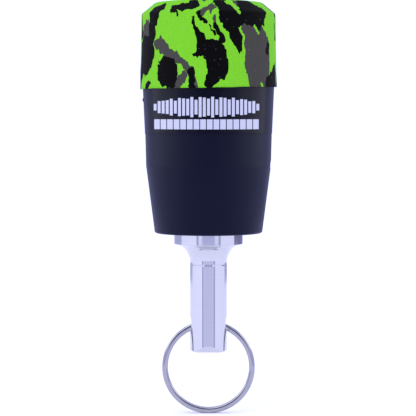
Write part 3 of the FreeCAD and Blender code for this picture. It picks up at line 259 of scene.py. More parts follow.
def moulded(name, colours, roughness, grain_mm, depth_mm, **constants):
    """A moulded finish: an even mould grain, with faint cloudy marks from handling."""
    made, tree, shader = new_material(name, **constants)
    place = millimetres(tree)
    grain = add_node(tree, "ShaderNodeTexNoise", {"Vector": place, "Scale": 1 / grain_mm, "Detail": 2.0})[0]
    cloud = add_node(tree, "ShaderNodeTexNoise", {"Vector": place, "Scale": 1 / ABS_CLOUD_MM, "Detail": 5.0,
                                                  "Roughness": 0.65})[0]
    finish(tree, shader, cloud, colours, cloud, roughness, grain, depth_mm)
    return made


satin_abs = moulded("spark_textured_black_ABS", ("#080B1C", "#0A0E22"), (0.34, 0.44), ABS_GRAIN_MM, 0.006,
                    IOR=1.50, Specular_IOR_Level=0.07, Sheen_Weight=0.09, Sheen_Roughness=0.55,
                    Sheen_Tint=linear(SATIN_SHEEN))
paint_nodes(satin_abs, "main_housing")

# ---- label panel ----
# A thin printed polycarbonate film lies in a shallow recess round the front. It is smoother than
# the moulding round it, so it shows as a darker, slightly glossier band.
FILM_GRAIN_MM = 0.5

label_film = moulded("polycarbonate_label_film", ("#060914", "#080B19"), (0.22, 0.30), FILM_GRAIN_MM, 0.002,
                     IOR=1.58, Specular_IOR_Level=0.06, Sheen_Weight=0.07, Sheen_Roughness=0.55,
                     Sheen_Tint=linear(SATIN_SHEEN))
paint_nodes(label_film, "label_panel")

# ---- printed rows on the label ----
# A generic sound pattern is pad-printed on the film in pale ink: a row of upright bars that swell
# and fade like a call, over a row of equal blocks. The pad presses it on from straight in front, so
# it looks even from there. Each mark is a skin of ink with a real edge.
INK_LIFT_MM = 0.012
INK_MM = 0.03
INK_SPOT_MM = 0.6
PRINT_ASIDE_MM = -0.7
BAR_COLUMNS = 4
BAR_ROW = {"Count": 26, "Pitch": 1.37, "Width": 0.98, "Low": 2.2, "High": 6.9, "Middle": 42.9,
           "Beat": 1.9, "Swell": 0.45}
BLOCK_ROW = {"Count": 16, "Pitch": 2.2, "Width": 1.9, "Low": 3.3, "High": 3.3, "Middle": 37.2,
             "Beat": 0.0, "Swell": 0.0}

ink, ink_tree, ink_shader = new_material("pad_printing_ink", IOR=1.5, Specular_IOR_Level=0.25)
ink_spot = add_node(ink_tree, "ShaderNodeTexNoise", {"Vector": millimetres(ink_tree),
                                                     "Scale": 1 / INK_SPOT_MM, "Detail": 3.0})[0]
finish(ink_tree, ink_shader, ink_spot, ("#B2B5C6", "#C4C6D2"), ink_spot, (0.38, 0.55), ink_spot, 0.004)

label_rims = {}
for vertex in nodes["label_panel"].data.vertices:
    level = round(vertex.co.z, 5)
    label_rims[level] = max(label_rims.get(level, 0), math.hypot(vertex.co.x, vertex.co.y))
label_foot = min(label_rims)
label_wide = max(label_rims, key=label_rims.get)
label_taper = (label_rims[label_wide] - label_rims[label_foot]) / (label_wide - label_foot)


def baked(piece):
    """Turns a piece's evaluated shape into a plain mesh, and takes its modifiers off."""
    bpy.context.view_layer.update()
    shape = piece.evaluated_get(bpy.context.evaluated_depsgraph_get())
    piece.data = bpy.data.meshes.new_from_object(shape)
    piece.modifiers.clear()
    return piece


def grown_piece(name, tree, values):
    """An object that a Geometry Nodes tree fills, with the tree's named inputs set."""
    piece = mesh_piece(name, [(0, 0, 0)], [])
    modifier = piece.modifiers.new(name, "NODES")
    modifier.node_group = tree
    for item in tree.interface.items_tree:
        if item.in_out == "INPUT" and item.name in values:
            modifier[item.identifier] = values[item.name]
    return baked(piece)


def new_tree(name, whole_inputs, inputs):
    """A Geometry Nodes tree with named inputs, and the outputs of its input node."""
    tree = bpy.data.node_groups.new(name, "GeometryNodeTree")
    tree.interface.new_socket(name="Geometry", in_out="OUTPUT", socket_type="NodeSocketGeometry")
    for item in whole_inputs:
        tree.interface.new_socket(name=item, in_out="INPUT", socket_type="NodeSocketInt")
    for item in inputs:
        tree.interface.new_socket(name=item, in_out="INPUT", socket_type="NodeSocketFloat")
    return tree, add_node(tree, "NodeGroupInput")


def printed_row_tree():
    """Upright bars on a line, given their heights, pressed onto the label's cone and thickened."""
    tree, given = new_tree("printed_row", ["Count"],
                           ["Pitch", "Width", "Low", "High", "Middle", "Beat", "Swell"])
    math_node = "ShaderNodeMath"
    last = add_node(tree, math_node, {0: given["Count"], 1: 1.0}, operation="SUBTRACT")[0]
    long = add_node(tree, math_node, {0: last, 1: given["Pitch"]}, operation="MULTIPLY")[0]
    left = add_node(tree, math_node, {0: long, 1: -0.5, 2: PRINT_ASIDE_MM}, operation="MULTIPLY_ADD")[0]
    start = add_node(tree, "ShaderNodeCombineXYZ", {0: left})[0]
    step = add_node(tree, "ShaderNodeCombineXYZ", {0: given["Pitch"]})[0]
    line = add_node(tree, "GeometryNodeMeshLine", {"Count": given["Count"], "Start Location": start,
                                                   "Offset": step})[0]
    bar = add_node(tree, "GeometryNodeMeshGrid", {"Size X": given["Width"], "Size Y": 1.0,
                                                  "Vertices X": BAR_COLUMNS, "Vertices Y": 2})[0]
    index = add_node(tree, "GeometryNodeInputIndex")[0]
    beat = add_node(tree, math_node, {0: index, 1: given["Beat"]}, operation="MULTIPLY")[0]
    wave = add_node(tree, math_node, {0: beat}, operation="SINE")[0]
    wave = add_node(tree, math_node, {0: wave}, operation="ABSOLUTE")[0]
    lively = add_node(tree, math_node, {0: wave, 1: 0.5, 2: 0.5}, operation="MULTIPLY_ADD")[0]
    share = add_node(tree, math_node, {0: index, 1: last}, operation="DIVIDE")[0]
    turn = add_node(tree, math_node, {0: share, 1: math.pi}, operation="MULTIPLY")[0]
    arch = add_node(tree, math_node, {0: turn}, operation="SINE")[0]
    arch = add_node(tree, math_node, {0: arch, 1: given["Swell"]}, operation="POWER")[0]
    reach = add_node(tree, math_node, {0: given["High"], 1: given["Low"]}, operation="SUBTRACT")[0]
    rise = add_node(tree, math_node, {0: lively, 1: arch}, operation="MULTIPLY")[0]
    tall = add_node(tree, math_node, {0: reach, 1: rise, 2: given["Low"]}, operation="MULTIPLY_ADD")[0]
    scale = add_node(tree, "ShaderNodeCombineXYZ", {0: 1.0, 1: tall, 2: 1.0})[0]
    bars = add_node(tree, "GeometryNodeInstanceOnPoints", {"Points": line, "Instance": bar,
                                                           "Scale": scale})[0]
    real = add_node(tree, "GeometryNodeRealizeInstances", {0: bars})[0]
    at = add_node(tree, "ShaderNodeSeparateXYZ", {0: add_node(tree, "GeometryNodeInputPosition")[0]})
    height = add_node(tree, math_node, {0: at[1], 1: given["Middle"]}, operation="ADD")[0]
    foot_r = label_rims[label_foot] / MM + INK_LIFT_MM - label_taper * label_foot / MM
    radius = add_node(tree, math_node, {0: height, 1: label_taper, 2: foot_r}, operation="MULTIPLY_ADD")[0]
    across = add_node(tree, math_node, {0: at[0], 1: radius}, operation="DIVIDE")[0]
    angle = add_node(tree, math_node, {0: across}, operation="ARCSINE")[0]
    cosine = add_node(tree, math_node, {0: angle}, operation="COSINE")[0]
    deep = add_node(tree, math_node, {0: radius, 1: cosine}, operation="MULTIPLY")[0]
    front = add_node(tree, math_node, {0: deep, 1: -1.0}, operation="MULTIPLY")[0]
    pressed = add_node(tree, "ShaderNodeCombineXYZ", {0: at[0], 1: front, 2: height})[0]
    in_metres = add_node(tree, "ShaderNodeVectorMath", {0: pressed, "Scale": MM}, operation="SCALE")[0]
    placed = add_node(tree, "GeometryNodeSetPosition", {"Geometry": real, "Position": in_metres})[0]
    thick = add_node(tree, "GeometryNodeExtrudeMesh", {"Mesh": placed, "Offset Scale": INK_MM * MM,
                                                       "Individual": False})[0]
    under = add_node(tree, "GeometryNodeFlipFaces", {0: placed})[0]
    joined = add_node(tree, "GeometryNodeJoinGeometry", {0: [thick, under]})[0]
    welded = add_node(tree, "GeometryNodeMergeByDistance", {"Geometry": joined, "Distance": 1e-6})[0]
    inked = add_node(tree, "GeometryNodeSetMaterial", {"Geometry": welded, "Material": ink})[0]
    add_node(tree, "NodeGroupOutput", {0: inked})
    return tree


printed_row = printed_row_tree()
for row_name, row in (("printed_sound_bars", BAR_ROW), ("printed_blocks", BLOCK_ROW)):
    row_piece = grown_piece(row_name, printed_row, row)
    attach(row_piece, "housing")

# ---- stem ----
# The stem is turned in a lathe from half-inch stainless bar and polished. The turning marks run
# round it, too fine to see singly, and years of handling leave faint scratches along it.
TURNING_MM = 0.35
SCRATCH_LONG_MM = 7.0
SCRATCH_WIDE_MM = 0.25

turned_steel, steel_tree, steel_shader = new_material("turned_stainless_steel", Metallic=1.0)
steel_place = millimetres(steel_tree)
turned_place = add_node(steel_tree, "ShaderNodeMapping", {"Vector": steel_place,
                                                          "Scale": (0.02, 0.02, 1 / TURNING_MM)})[0]
turning = add_node(steel_tree, "ShaderNodeTexNoise", {"Vector": turned_place, "Scale": 1.0, "Detail": 3.0})[0]
scratched_place = add_node(steel_tree, "ShaderNodeMapping", {
    "Vector": steel_place, "Scale": (1 / SCRATCH_WIDE_MM, 1 / SCRATCH_WIDE_MM, 1 / SCRATCH_LONG_MM)})[0]
scratch_noise = add_node(steel_tree, "ShaderNodeTexNoise", {"Vector": scratched_place, "Scale": 1.0,
                                                            "Detail": 2.0})[0]
scratches = add_node(steel_tree, "ShaderNodeMapRange", {"Value": scratch_noise, "From Min": 0.66,
                                                        "From Max": 0.74})[0]
steel_marks = add_node(steel_tree, "ShaderNodeMath", {0: scratches, 1: -0.5, 2: turning},
                       operation="MULTIPLY_ADD")[0]
finish(steel_tree, steel_shader, turning, ("#C6C6CA", "#D0D0D3"), turning, (0.06, 0.12), steel_marks, 0.0012)
paint_nodes(turned_steel, "stem")

# ---- stem fixings ----
# The stem's stud passes through the floor of the housing. A rubber ring seals it, and a washer and
# a zinc-plated nut pull it up tight from inside.
moulded_rubber = moulded("moulded_nitrile_rubber", ("#101011", "#1A1A1B"), (0.62, 0.80), 0.3, 0.01, IOR=1.52)
paint_nodes(moulded_rubber, "stem_o_ring", "button_seal", "speaker_gasket", "surround")


def bare_metal(name, colours, roughness, mottle_mm):
    """Plated or bare metal with a fine mottle that changes both its tint and its gloss."""
    made, tree, shader = new_material(name, Metallic=1.0)
    mottle = add_node(tree, "ShaderNodeTexNoise", {"Vector": millimetres(tree), "Scale": 1 / mottle_mm,
                                                   "Detail": 4.0})[0]
    finish(tree, shader, mottle, colours, mottle, roughness, mottle, 0.003)
    return made


paint_nodes(bare_metal("bright_zinc_plate", ("#B9BBB6", "#D5D6CE"), (0.22, 0.38), 1.6),
            "stem_washer", "stem_nut", "chassis_screws", "board_screws", "port_cover_pin")

# ---- battery, contacts and chassis ----
# A lithium cell in blue shrink sleeve lies in a cradle moulded in dark grey ABS, between two
# nickel-plated spring contacts with solder tags.
paint_nodes(moulded("moulded_grey_ABS", ("#222226", "#2C2C31"), (0.45, 0.60), 0.3, 0.008, IOR=1.5), "chassis")
paint_nodes(moulded("shrink_sleeved_cell", ("#123C66", "#194B7C"), (0.25, 0.36), 0.9, 0.004, IOR=1.54),
            "battery_cell")
paint_nodes(bare_metal("nickel_plated_spring_steel", ("#BDBBB4", "#D2D0C8"), (0.16, 0.30), 1.2),
            "battery_contacts", "usb_receptacle", "radio_module")

# ---- main board and its components ----
# The board is glass-epoxy laminate under green solder mask. Its chips are moulded in black epoxy,
# its capacitors are drawn aluminium cans, and its plugs and plunger are cream nylon.
GLASS_CLOTH_MM = 0.6
WAVES_PER_UNIT = 0.31


def woven(tree, place, pitch_mm, directions):
    """A plain weave, from 0 in its hollows to 1 on its crossings."""
    threads = [add_node(tree, "ShaderNodeTexWave", {"Vector": place, "Scale": WAVES_PER_UNIT / pitch_mm},
                        bands_direction=way)[1] for way in directions]
    return add_node(tree, "ShaderNodeMath", {0: threads[0], 1: threads[1]}, operation="MULTIPLY")[0]


solder_mask, mask_tree, mask_shader = new_material("green_solder_mask", IOR=1.55)
glass = woven(mask_tree, millimetres(mask_tree), GLASS_CLOTH_MM, "XZ")
finish(mask_tree, mask_shader, glass, ("#0B3A1E", "#125030"), glass, (0.22, 0.34), glass, 0.01)
paint_nodes(solder_mask, "main_board")
paint_nodes(moulded("moulded_chip_epoxy", ("#161617", "#202022"), (0.55, 0.70), 0.25, 0.006, IOR=1.55),
            "processor_chip", "amplifier_chip", "memory_chip", "switch_case", "inductor")
paint_nodes(bare_metal("drawn_aluminium_can", ("#C9CACC", "#DDDEE0"), (0.18, 0.30), 0.8), "board_capacitors")
paint_nodes(moulded("moulded_cream_nylon", ("#D8D0B2", "#E6DFC6"), (0.40, 0.55), 0.5, 0.006, IOR=1.53),
            "switch_plunger", "speaker_socket", "battery_socket")
paint_nodes(moulded("red_silicone_insulation", ("#8E1414", "#A81C1A"), (0.42, 0.55), 0.6, 0.004, IOR=1.43),
            "speaker_lead_red", "battery_lead_red")
paint_nodes(moulded("black_silicone_insulation", ("#121213", "#1B1B1D"), (0.42, 0.55), 0.6, 0.004, IOR=1.43),
            "speaker_lead_black", "battery_lead_black")

# ---- power button, port cover and indicator ----
# The button and the port cover are soft silicone, flush with the housing and a little duller than
# it. The indicator's light comes out through a clear polycarbonate pipe.
paint_nodes(moulded("soft_silicone_key", ("#0B0E1C", "#0F1222"), (0.50, 0.62), 0.18, 0.008,
                    IOR=1.43, Specular_IOR_Level=0.12), "power_button", "port_cover")
clear_pipe, pipe_tree, pipe_shader = new_material("clear_polycarbonate", IOR=1.58, Transmission_Weight=0.85)
pipe_haze = add_node(pipe_tree, "ShaderNodeTexNoise", {"Vector": millimetres(pipe_tree), "Scale": 1 / 0.7,
                                                       "Detail": 2.0})[0]
finish(pipe_tree, pipe_shader, pipe_haze, ("#DDE4EA", "#F2F6FA"), pipe_haze, (0.12, 0.26), pipe_haze, 0.002)
paint_nodes(clear_pipe, "light_pipe", "status_led")

# ---- loudspeaker ----
# The frame, plate and yoke are pressed steel in black zinc, round a sintered ferrite magnet. The
# cone and dust cap are pressed paper pulp on a rubber roll and a resin-dipped cloth spider.
SPIDER_CLOTH_MM = 0.45

paint_nodes(bare_metal("black_zinc_plate", ("#2A2A2C", "#3A3A3D"), (0.34, 0.50), 1.4),
            "speaker_basket", "speaker_top_plate", "speaker_yoke")
paint_nodes(moulded("sintered_ferrite", ("#26231F", "#34302B"), (0.60, 0.75), 0.4, 0.02, IOR=1.8),
            "speaker_magnet")
paint_nodes(moulded("pressed_paper_pulp", ("#1C1C1C", "#2B2A29"), (0.80, 0.92), 0.35, 0.03, IOR=1.45),
            "speaker_cone", "dust_cap")
spider_cloth, spider_tree, spider_shader = new_material("resin_dipped_cotton_cloth", IOR=1.5)
cotton = woven(spider_tree, millimetres(spider_tree), SPIDER_CLOTH_MM, "XY")
finish(spider_tree, spider_shader, cotton, ("#8A5A22", "#B98848"), cotton, (0.70, 0.85), cotton, 0.06)
paint_nodes(spider_cloth, "spider")
paint_nodes(bare_metal("enamelled_copper_wire", ("#9A4A22", "#C06A34"), (0.20, 0.34), 0.5), "voice_coil")
paint_nodes(moulded("phenolic_board", ("#5A3418", "#744522"), (0.50, 0.64), 0.6, 0.01, IOR=1.6),
            "speaker_terminals")

# ---- bezel and grille ----
# The bezel is moulded in the housing's black ABS and snaps into its rim. It holds a domed, punched
# steel grille that is powder-coated black, which leaves a fine orange-peel skin.
paint_nodes(satin_abs, "bezel_ring")
paint_nodes(moulded("black_powder_coat", ("#131314", "#1B1B1D"), (0.42, 0.55), 0.45, 0.03, IOR=1.5),
            "grille", "grille_retainer")

# ---- camouflage sleeve ----
# The sleeve is one stretch-knit cap, printed in lime, charcoal and black and pulled on over the
# speaker end, where it takes the bezel's shape. Its lower edge is cut raw and left unhemmed.
CLOTH_MM = 0.7
CLOTH_EASE_MM = 0.2
SLEEVE_TURNS = 256
SLEEVE_STEP_MM = 0.8
SHOULDER_ABOVE_RIM_MM = 1.23
SHOULDER_ROUND_MM = 1.3
CROWN_ROUND_MM = 2.2
CROWN_EDGE_R_MM = 18.1
CROWN_RISE_MM = 1.25
CROWN_STEPS = 8
EDGE_TILT_MM = 0.38
EDGE_WAVE_MM = 0.10
EDGE_REACH_MM = 6.0
CLOTH_UNEVEN_MM = 0.05
KNIT_WALE_MM = 0.62
KNIT_COURSE_MM = 0.50
FUZZ_MM = 0.30
LINT_MM = 0.8
LINT_GREY = "#8E8E90"
KNIT_ROUGHNESS = (0.82, 0.95)
KNIT_DEPTH_MM = 0.10
CLOTH_WAVES = 18
CLOTH_SEED = 4
DRIFT_UP = (0.45, 0.21)
DRIFT_ROUND = (3, 2)
BEND_STEPS = 6
CROWN_IN = (0.4, 0.9)
SHOULDER_IN = 0.35
TEARS = ((4.5, 2.4), (1.5, 1.7), (0.6, 0.45))   # size and reach of each, in millimetres
LIME = "#7CD02B"
CHARCOAL = "#484640"
INK_BLACK = "#080808"

sleeve_low, sleeve_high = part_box("camo_sleeve")
SLEEVE_FOOT_R = sleeve_high.x / MM
SLEEVE_FOOT_Z = sleeve_low.z / MM
SLEEVE_TOP_Z = sleeve_high.z / MM
SHOULDER_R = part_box("bezel_ring")[1].x / MM + CLOTH_EASE_MM + CLOTH_MM
SHOULDER_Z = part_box("main_housing")[1].z / MM + SHOULDER_ABOVE_RIM_MM
CROWN_EDGE_Z = SLEEVE_TOP_Z - CROWN_RISE_MM


def rounded(corners):
    """A path through (r, z, round) corners, each rounded by its own radius."""
    path = [Vector(corners[0][:2])]
    for before, corner, after in zip(corners, corners[1:], corners[2:]):
        here = Vector(corner[:2])
        come = (here - Vector(before[:2])).normalized()
        go = (Vector(after[:2]) - here).normalized()
        back = corner[2] * math.tan(come.angle(go) / 2)
        start, end = here - come * back, here + go * back
        for k in range(BEND_STEPS + 1):
            t = k / BEND_STEPS
            path.append((1 - t) ** 2 * start + 2 * t * (1 - t) * here + t * t * end)
    path.append(Vector(corners[-1][:2]))
    return path


def evened(path, step):
    """The same path with points no further apart than a step."""
    made = [path[0]]
    for point in path[1:]:
        start = made[-1]
        pieces = max(1, math.ceil((point - start).length / step))
        made += [start.lerp(point, k / pieces) for k in range(1, pieces + 1)]
    return made


def sleeve_profile(inset):
    """The cloth's outline from its lower edge to its crown, inset towards the housing."""
    crown_r, crown_z = CROWN_EDGE_R_MM - CROWN_IN[0] * inset, CROWN_EDGE_Z - CROWN_IN[1] * inset
    corners = [(SLEEVE_FOOT_R - inset, SLEEVE_FOOT_Z, 0),
               (SHOULDER_R - inset, SHOULDER_Z - SHOULDER_IN * inset, SHOULDER_ROUND_MM),
               (crown_r, crown_z, CROWN_ROUND_MM)]
    dome = []
    for k in range(1, CROWN_STEPS + 1):
        r = crown_r * (1 - k / CROWN_STEPS)
        dome.append((r, crown_z + CROWN_RISE_MM * (1 - (r / crown_r) ** 2)))
    path = rounded(corners + [(*dome[0], 0)]) + [Vector(p) for p in dome[1:]]
    return evened(path, SLEEVE_STEP_MM)


def sleeve_piece():
    """The cap as one closed skin: outside, crown, inside and the raw lower edge."""
    outside = sleeve_profile(0.0)
    inside = sleeve_profile(CLOTH_MM)
    rng = random.Random(CLOTH_SEED)
    waves = [(rng.uniform(-1, 1), rng.uniform(0, 2 * math.pi)) for _ in range(CLOTH_WAVES)]
    points, faces, uvs = [], [], []
    for layer in (outside[:-1], inside[:-1]):
        length = 0.0
        for n, place in enumerate(layer):
            length += (place - layer[n - 1]).length if n else 0
            low = max(0.0, 1 - (place.y - SLEEVE_FOOT_Z) / EDGE_REACH_MM)
            for k in range(SLEEVE_TURNS):
                a = 2 * math.pi * k / SLEEVE_TURNS
                lumps = sum(w * math.sin((m + 2) * a + p) for m, (w, p) in enumerate(waves)) / 4
                drift = (math.sin(place.y * DRIFT_UP[0] + DRIFT_ROUND[0] * a)
                         * math.sin(place.y * DRIFT_UP[1] - DRIFT_ROUND[1] * a))
                r = place.x + CLOTH_UNEVEN_MM * (drift + 0.4 * lumps) * min(1, place.x / SHOULDER_R)
                z = place.y + low * (EDGE_TILT_MM * math.sin(a) + EDGE_WAVE_MM * lumps)
                points.append((r * math.sin(a) * MM, -r * math.cos(a) * MM, z * MM))
                uvs.append((a * SHOULDER_R, length))
    count_out, count_in = len(outside) - 1, len(inside) - 1
    pole_out, pole_in = len(points), len(points) + 1
    points += [(0, 0, outside[-1].y * MM), (0, 0, inside[-1].y * MM)]
    uvs += [(0, 0), (0, 0)]

    def at(row, k):
        return row * SLEEVE_TURNS + k % SLEEVE_TURNS

    for k in range(SLEEVE_TURNS):
        for n in range(count_out - 1):
            faces.append((at(n, k), at(n, k + 1), at(n + 1, k + 1), at(n + 1, k)))
        faces.append((at(count_out - 1, k), at(count_out - 1, k + 1), pole_out))
        for n in range(count_out, count_out + count_in - 1):
            faces.append((at(n, k + 1), at(n, k), at(n + 1, k), at(n + 1, k + 1)))
        faces.append((at(count_out + count_in - 1, k + 1), at(count_out + count_in - 1, k), pole_in))
        faces.append((at(0, k + 1), at(0, k), at(count_out, k), at(count_out, k + 1)))
    made = mesh_piece("knitted_sleeve", points, faces)
    layer = made.data.uv_layers.new(name="UVMap")
    for polygon in made.data.polygons:
        corners = [made.data.vertices[v].co for v in polygon.vertices]
        on_crown = all(math.hypot(co.x, co.y) < CROWN_EDGE_R_MM * MM for co in corners)
        past_seam = max(uvs[v][0] for v in polygon.vertices) > 1.9 * math.pi * SHOULDER_R
        for loop in polygon.loop_indices:
            v = made.data.loops[loop].vertex_index
            u, w = uvs[v]
            if past_seam and u == 0:
                u = 2 * math.pi * SHOULDER_R
            co = made.data.vertices[v].co
            layer.data[loop].uv = (co.x / MM, co.y / MM) if on_crown else (u, w)
    return made


# Each stroke of the print runs from an angle round from the front and a height to another, in
# degrees and millimetres, and has a half width at each end. Lime is the ground; charcoal is
# printed on it, then black, and lime flecks last.
CHARCOAL_STROKES = [
    (40, 69.5, 47, 62.0, 4.4, 6.3), (47, 62.0, 47, 56.0, 6.3, 5.7), (47, 56.0, 45, 50.0, 5.7, 3.6),
    (-66, 69.2, -68, 65.0, 3.2, 3.4), (-46, 63.4, -28, 59.0, 2.3, 1.3), (-28, 59.0, -16, 55.8, 1.3, 1.1),
    (-16, 55.8, -10, 49.6, 1.1, 1.0), (-27, 49.6, -20, 54.4, 2.1, 0.9), (-8, 79.2, -5, 78.4, 1.0, 1.2),
    (-7, 74.0, 2, 76.0, 1.0, 1.4), (2, 76.0, 6, 70.4, 1.5, 0.7), (-59, 58.0, -60, 55.4, 1.9, 1.0),
    (24, 77.6, 30, 77.0, 1.8, 0.9), (96, 66.0, 104, 53.0, 3.9, 3.0), (128, 73.0, 140, 65.0, 3.5, 2.7),
    (160, 60.0, 174, 50.5, 2.9, 4.1), (193, 74.5, 204, 63.0, 2.7, 3.7), (236, 62.0, 226, 52.0, 2.3, 3.7),
    (252, 75.5, 262, 67.5, 3.3, 1.9), (214, 50.5, 206, 56.0, 2.3, 1.3), (148, 57.0, 140, 50.5, 1.3, 2.5),
    (271, 55.0, 276, 50.0, 2.5, 1.5), (110, 75.5, 118, 70.5, 2.1, 1.3), (170, 70.0, 178, 73.0, 1.3, 2.1),
    (90, 56.0, 84, 50.5, 1.1, 2.1), (150, 79.1, 200, 79.2, 3.0, 2.2), (300, 79.2, 262, 78.8, 1.6, 3.0),
    (60, 79.4, 20, 79.0, 1.4, 2.0),
]
BLACK_STROKES = [
    (-52, 75.2, -55, 71.0, 3.5, 2.4), (-55, 70.0, -56, 65.5, 2.1, 2.0), (-58, 65.0, -66, 61.0, 2.4, 5.8),
    (-66, 61.0, -68, 58.6, 5.8, 5.4), (-74, 57.2, -82, 50.0, 3.4, 1.8), (-37, 57.0, -36, 54.2, 3.2, 4.5),
    (-36, 54.2, -33, 50.8, 4.4, 2.0), (-15, 55.3, -14, 49.6, 1.1, 1.5), (-63, 49.6, -58, 50.4, 1.6, 0.7),
    (-31, 75.8, -15, 76.2, 1.8, 2.1), (-15, 76.2, -13, 79.2, 1.9, 1.7), (-30, 74.2, -27, 72.8, 0.8, 0.4),
    (-8, 73.4, -1, 70.8, 1.0, 0.6), (-13, 71.9, -8, 66.6, 0.4, 1.2), (-8, 66.6, -3, 61.8, 1.3, 2.3),
    (-12, 60.4, -3, 61.6, 0.5, 1.7), (1, 69.3, 6, 66.6, 0.4, 0.4), (7, 69.4, 11, 65.2, 0.8, 1.1),
    (5, 61.8, 7, 56.4, 3.5, 3.9), (7, 56.4, 1, 50.2, 3.6, 1.6), (11, 56.4, 12, 52.2, 2.3, 0.4),
    (14, 77.8, 17, 73.2, 3.0, 3.4), (17, 73.0, 48, 72.4, 3.2, 3.4), (36, 77.0, 52, 74.8, 2.8, 3.2),
    (19, 70.6, 25, 64.0, 2.7, 1.8), (25, 64.0, 28, 59.8, 1.8, 0.3), (60, 63.2, 58, 60.6, 1.2, 1.4),
    (73, 54.4, 67, 50.0, 2.4, 5.2), (-46, 65.2, -40, 67.4, 0.3, 0.2),
    (84, 76.5, 96, 68.5, 3.7, 2.9), (96, 68.5, 90, 61.0, 2.5, 1.1), (112, 62.0, 118, 50.0, 3.8, 4.6),
    (120, 68.0, 131, 60.0, 1.9, 3.3), (131, 60.0, 138, 54.0, 3.1, 1.5), (148, 76.5, 163, 68.0, 4.1, 2.9),
    (163, 68.0, 152, 61.5, 2.7, 1.3), (178, 68.5, 187, 57.0, 2.5, 4.3), (187, 57.0, 196, 50.5, 3.3, 1.7),
    (200, 58.0, 211, 50.0, 1.7, 3.3), (216, 76.5, 224, 66.0, 3.9, 3.3), (224, 66.0, 214, 61.0, 2.9, 1.3),
    (240, 68.0, 250, 56.0, 2.9, 3.9), (250, 56.0, 244, 50.0, 2.7, 1.3), (262, 63.0, 267, 54.0, 1.9, 2.5),
    (274, 74.0, 280, 68.0, 1.8, 2.2), (76, 71.0, 80, 66.5, 0.5, 1.2), (103, 51.5, 100, 57.0, 1.9, 0.9),
    (30, 79.0, 110, 78.8, 3.4, 3.6), (240, 79.1, 190, 78.8, 3.0, 3.4), (170, 79.5, 80, 79.4, 2.2, 1.6),
    (290, 78.9, 320, 79.2, 2.6, 1.2), (132, 78.7, 160, 78.7, 2.2, 3.0),
]
LIME_STROKES = [
    (21, 78.2, 26, 74.6, 1.3, 0.7), (41, 69.6, 47, 67.6, 0.4, 0.5), (-19, 79.3, -17, 78.9, 1.2, 0.8),
    (50, 51.0, 51, 49.6, 0.5, 0.9), (118, 56.5, 123, 52.0, 0.5, 1.0), (157, 74.0, 160, 70.5, 1.0, 0.6),
    (60, 79.0, 80, 79.0, 1.4, 0.8), (243, 64.0, 247, 60.0, 0.9, 0.5), (222, 73.0, 226, 69.0, 0.9, 0.5),
    (186, 62.0, 190, 58.0, 0.8, 0.4),
]


def on_sleeve(angle_deg, height):
    """A point on the cloth in millimetres, from its angle round from the front and its height."""
    if height <= SHOULDER_Z:
        share = (height - SLEEVE_FOOT_Z) / (SHOULDER_Z - SLEEVE_FOOT_Z)
        r = SLEEVE_FOOT_R + (SHOULDER_R - SLEEVE_FOOT_R) * share
    elif height <= CROWN_EDGE_Z:
        r = SHOULDER_R + (CROWN_EDGE_R_MM - SHOULDER_R) * (height - SHOULDER_Z) / (CROWN_EDGE_Z - SHOULDER_Z)
    else:
        r = CROWN_EDGE_R_MM * math.sqrt(max(0.0, 1 - (height - CROWN_EDGE_Z) / CROWN_RISE_MM))
    a = math.radians(angle_deg)
    return Vector((r * math.sin(a), -r * math.cos(a), height))


def print_layer(tree, place, strokes):
    """1 inside any of the strokes and 0 outside, from the distance to each stroke's line."""
    nearest = None
    for angle0, z0, angle1, z1, half0, half1 in strokes:
        start, end = on_sleeve(angle0, z0), on_sleeve(angle1, z1)
        run = end - start
        away = add_node(tree, "ShaderNodeVectorMath", {0: place, 1: start}, operation="SUBTRACT")[0]
        along = add_node(tree, "ShaderNodeVectorMath", {0: away, 1: run / run.length_squared},
                         operation="DOT_PRODUCT")["Value"]
        share = add_node(tree, "ShaderNodeClamp", {0: along})[0]
        foot = add_node(tree, "ShaderNodeVectorMath", {0: run, "Scale": share}, operation="SCALE")[0]
        gap = add_node(tree, "ShaderNodeVectorMath", {0: away, 1: foot}, operation="DISTANCE")["Value"]
        half = add_node(tree, "ShaderNodeMath", {0: share, 1: half1 - half0, 2: half0},
                        operation="MULTIPLY_ADD")[0]
        edge = add_node(tree, "ShaderNodeMath", {0: gap, 1: half}, operation="SUBTRACT")[0]
        if nearest is None:
            nearest = edge
        else:
            nearest = add_node(tree, "ShaderNodeMath", {0: nearest, 1: edge}, operation="MINIMUM")[0]
    return add_node(tree, "ShaderNodeMath", {0: nearest, 1: 0.0}, operation="LESS_THAN")[0]


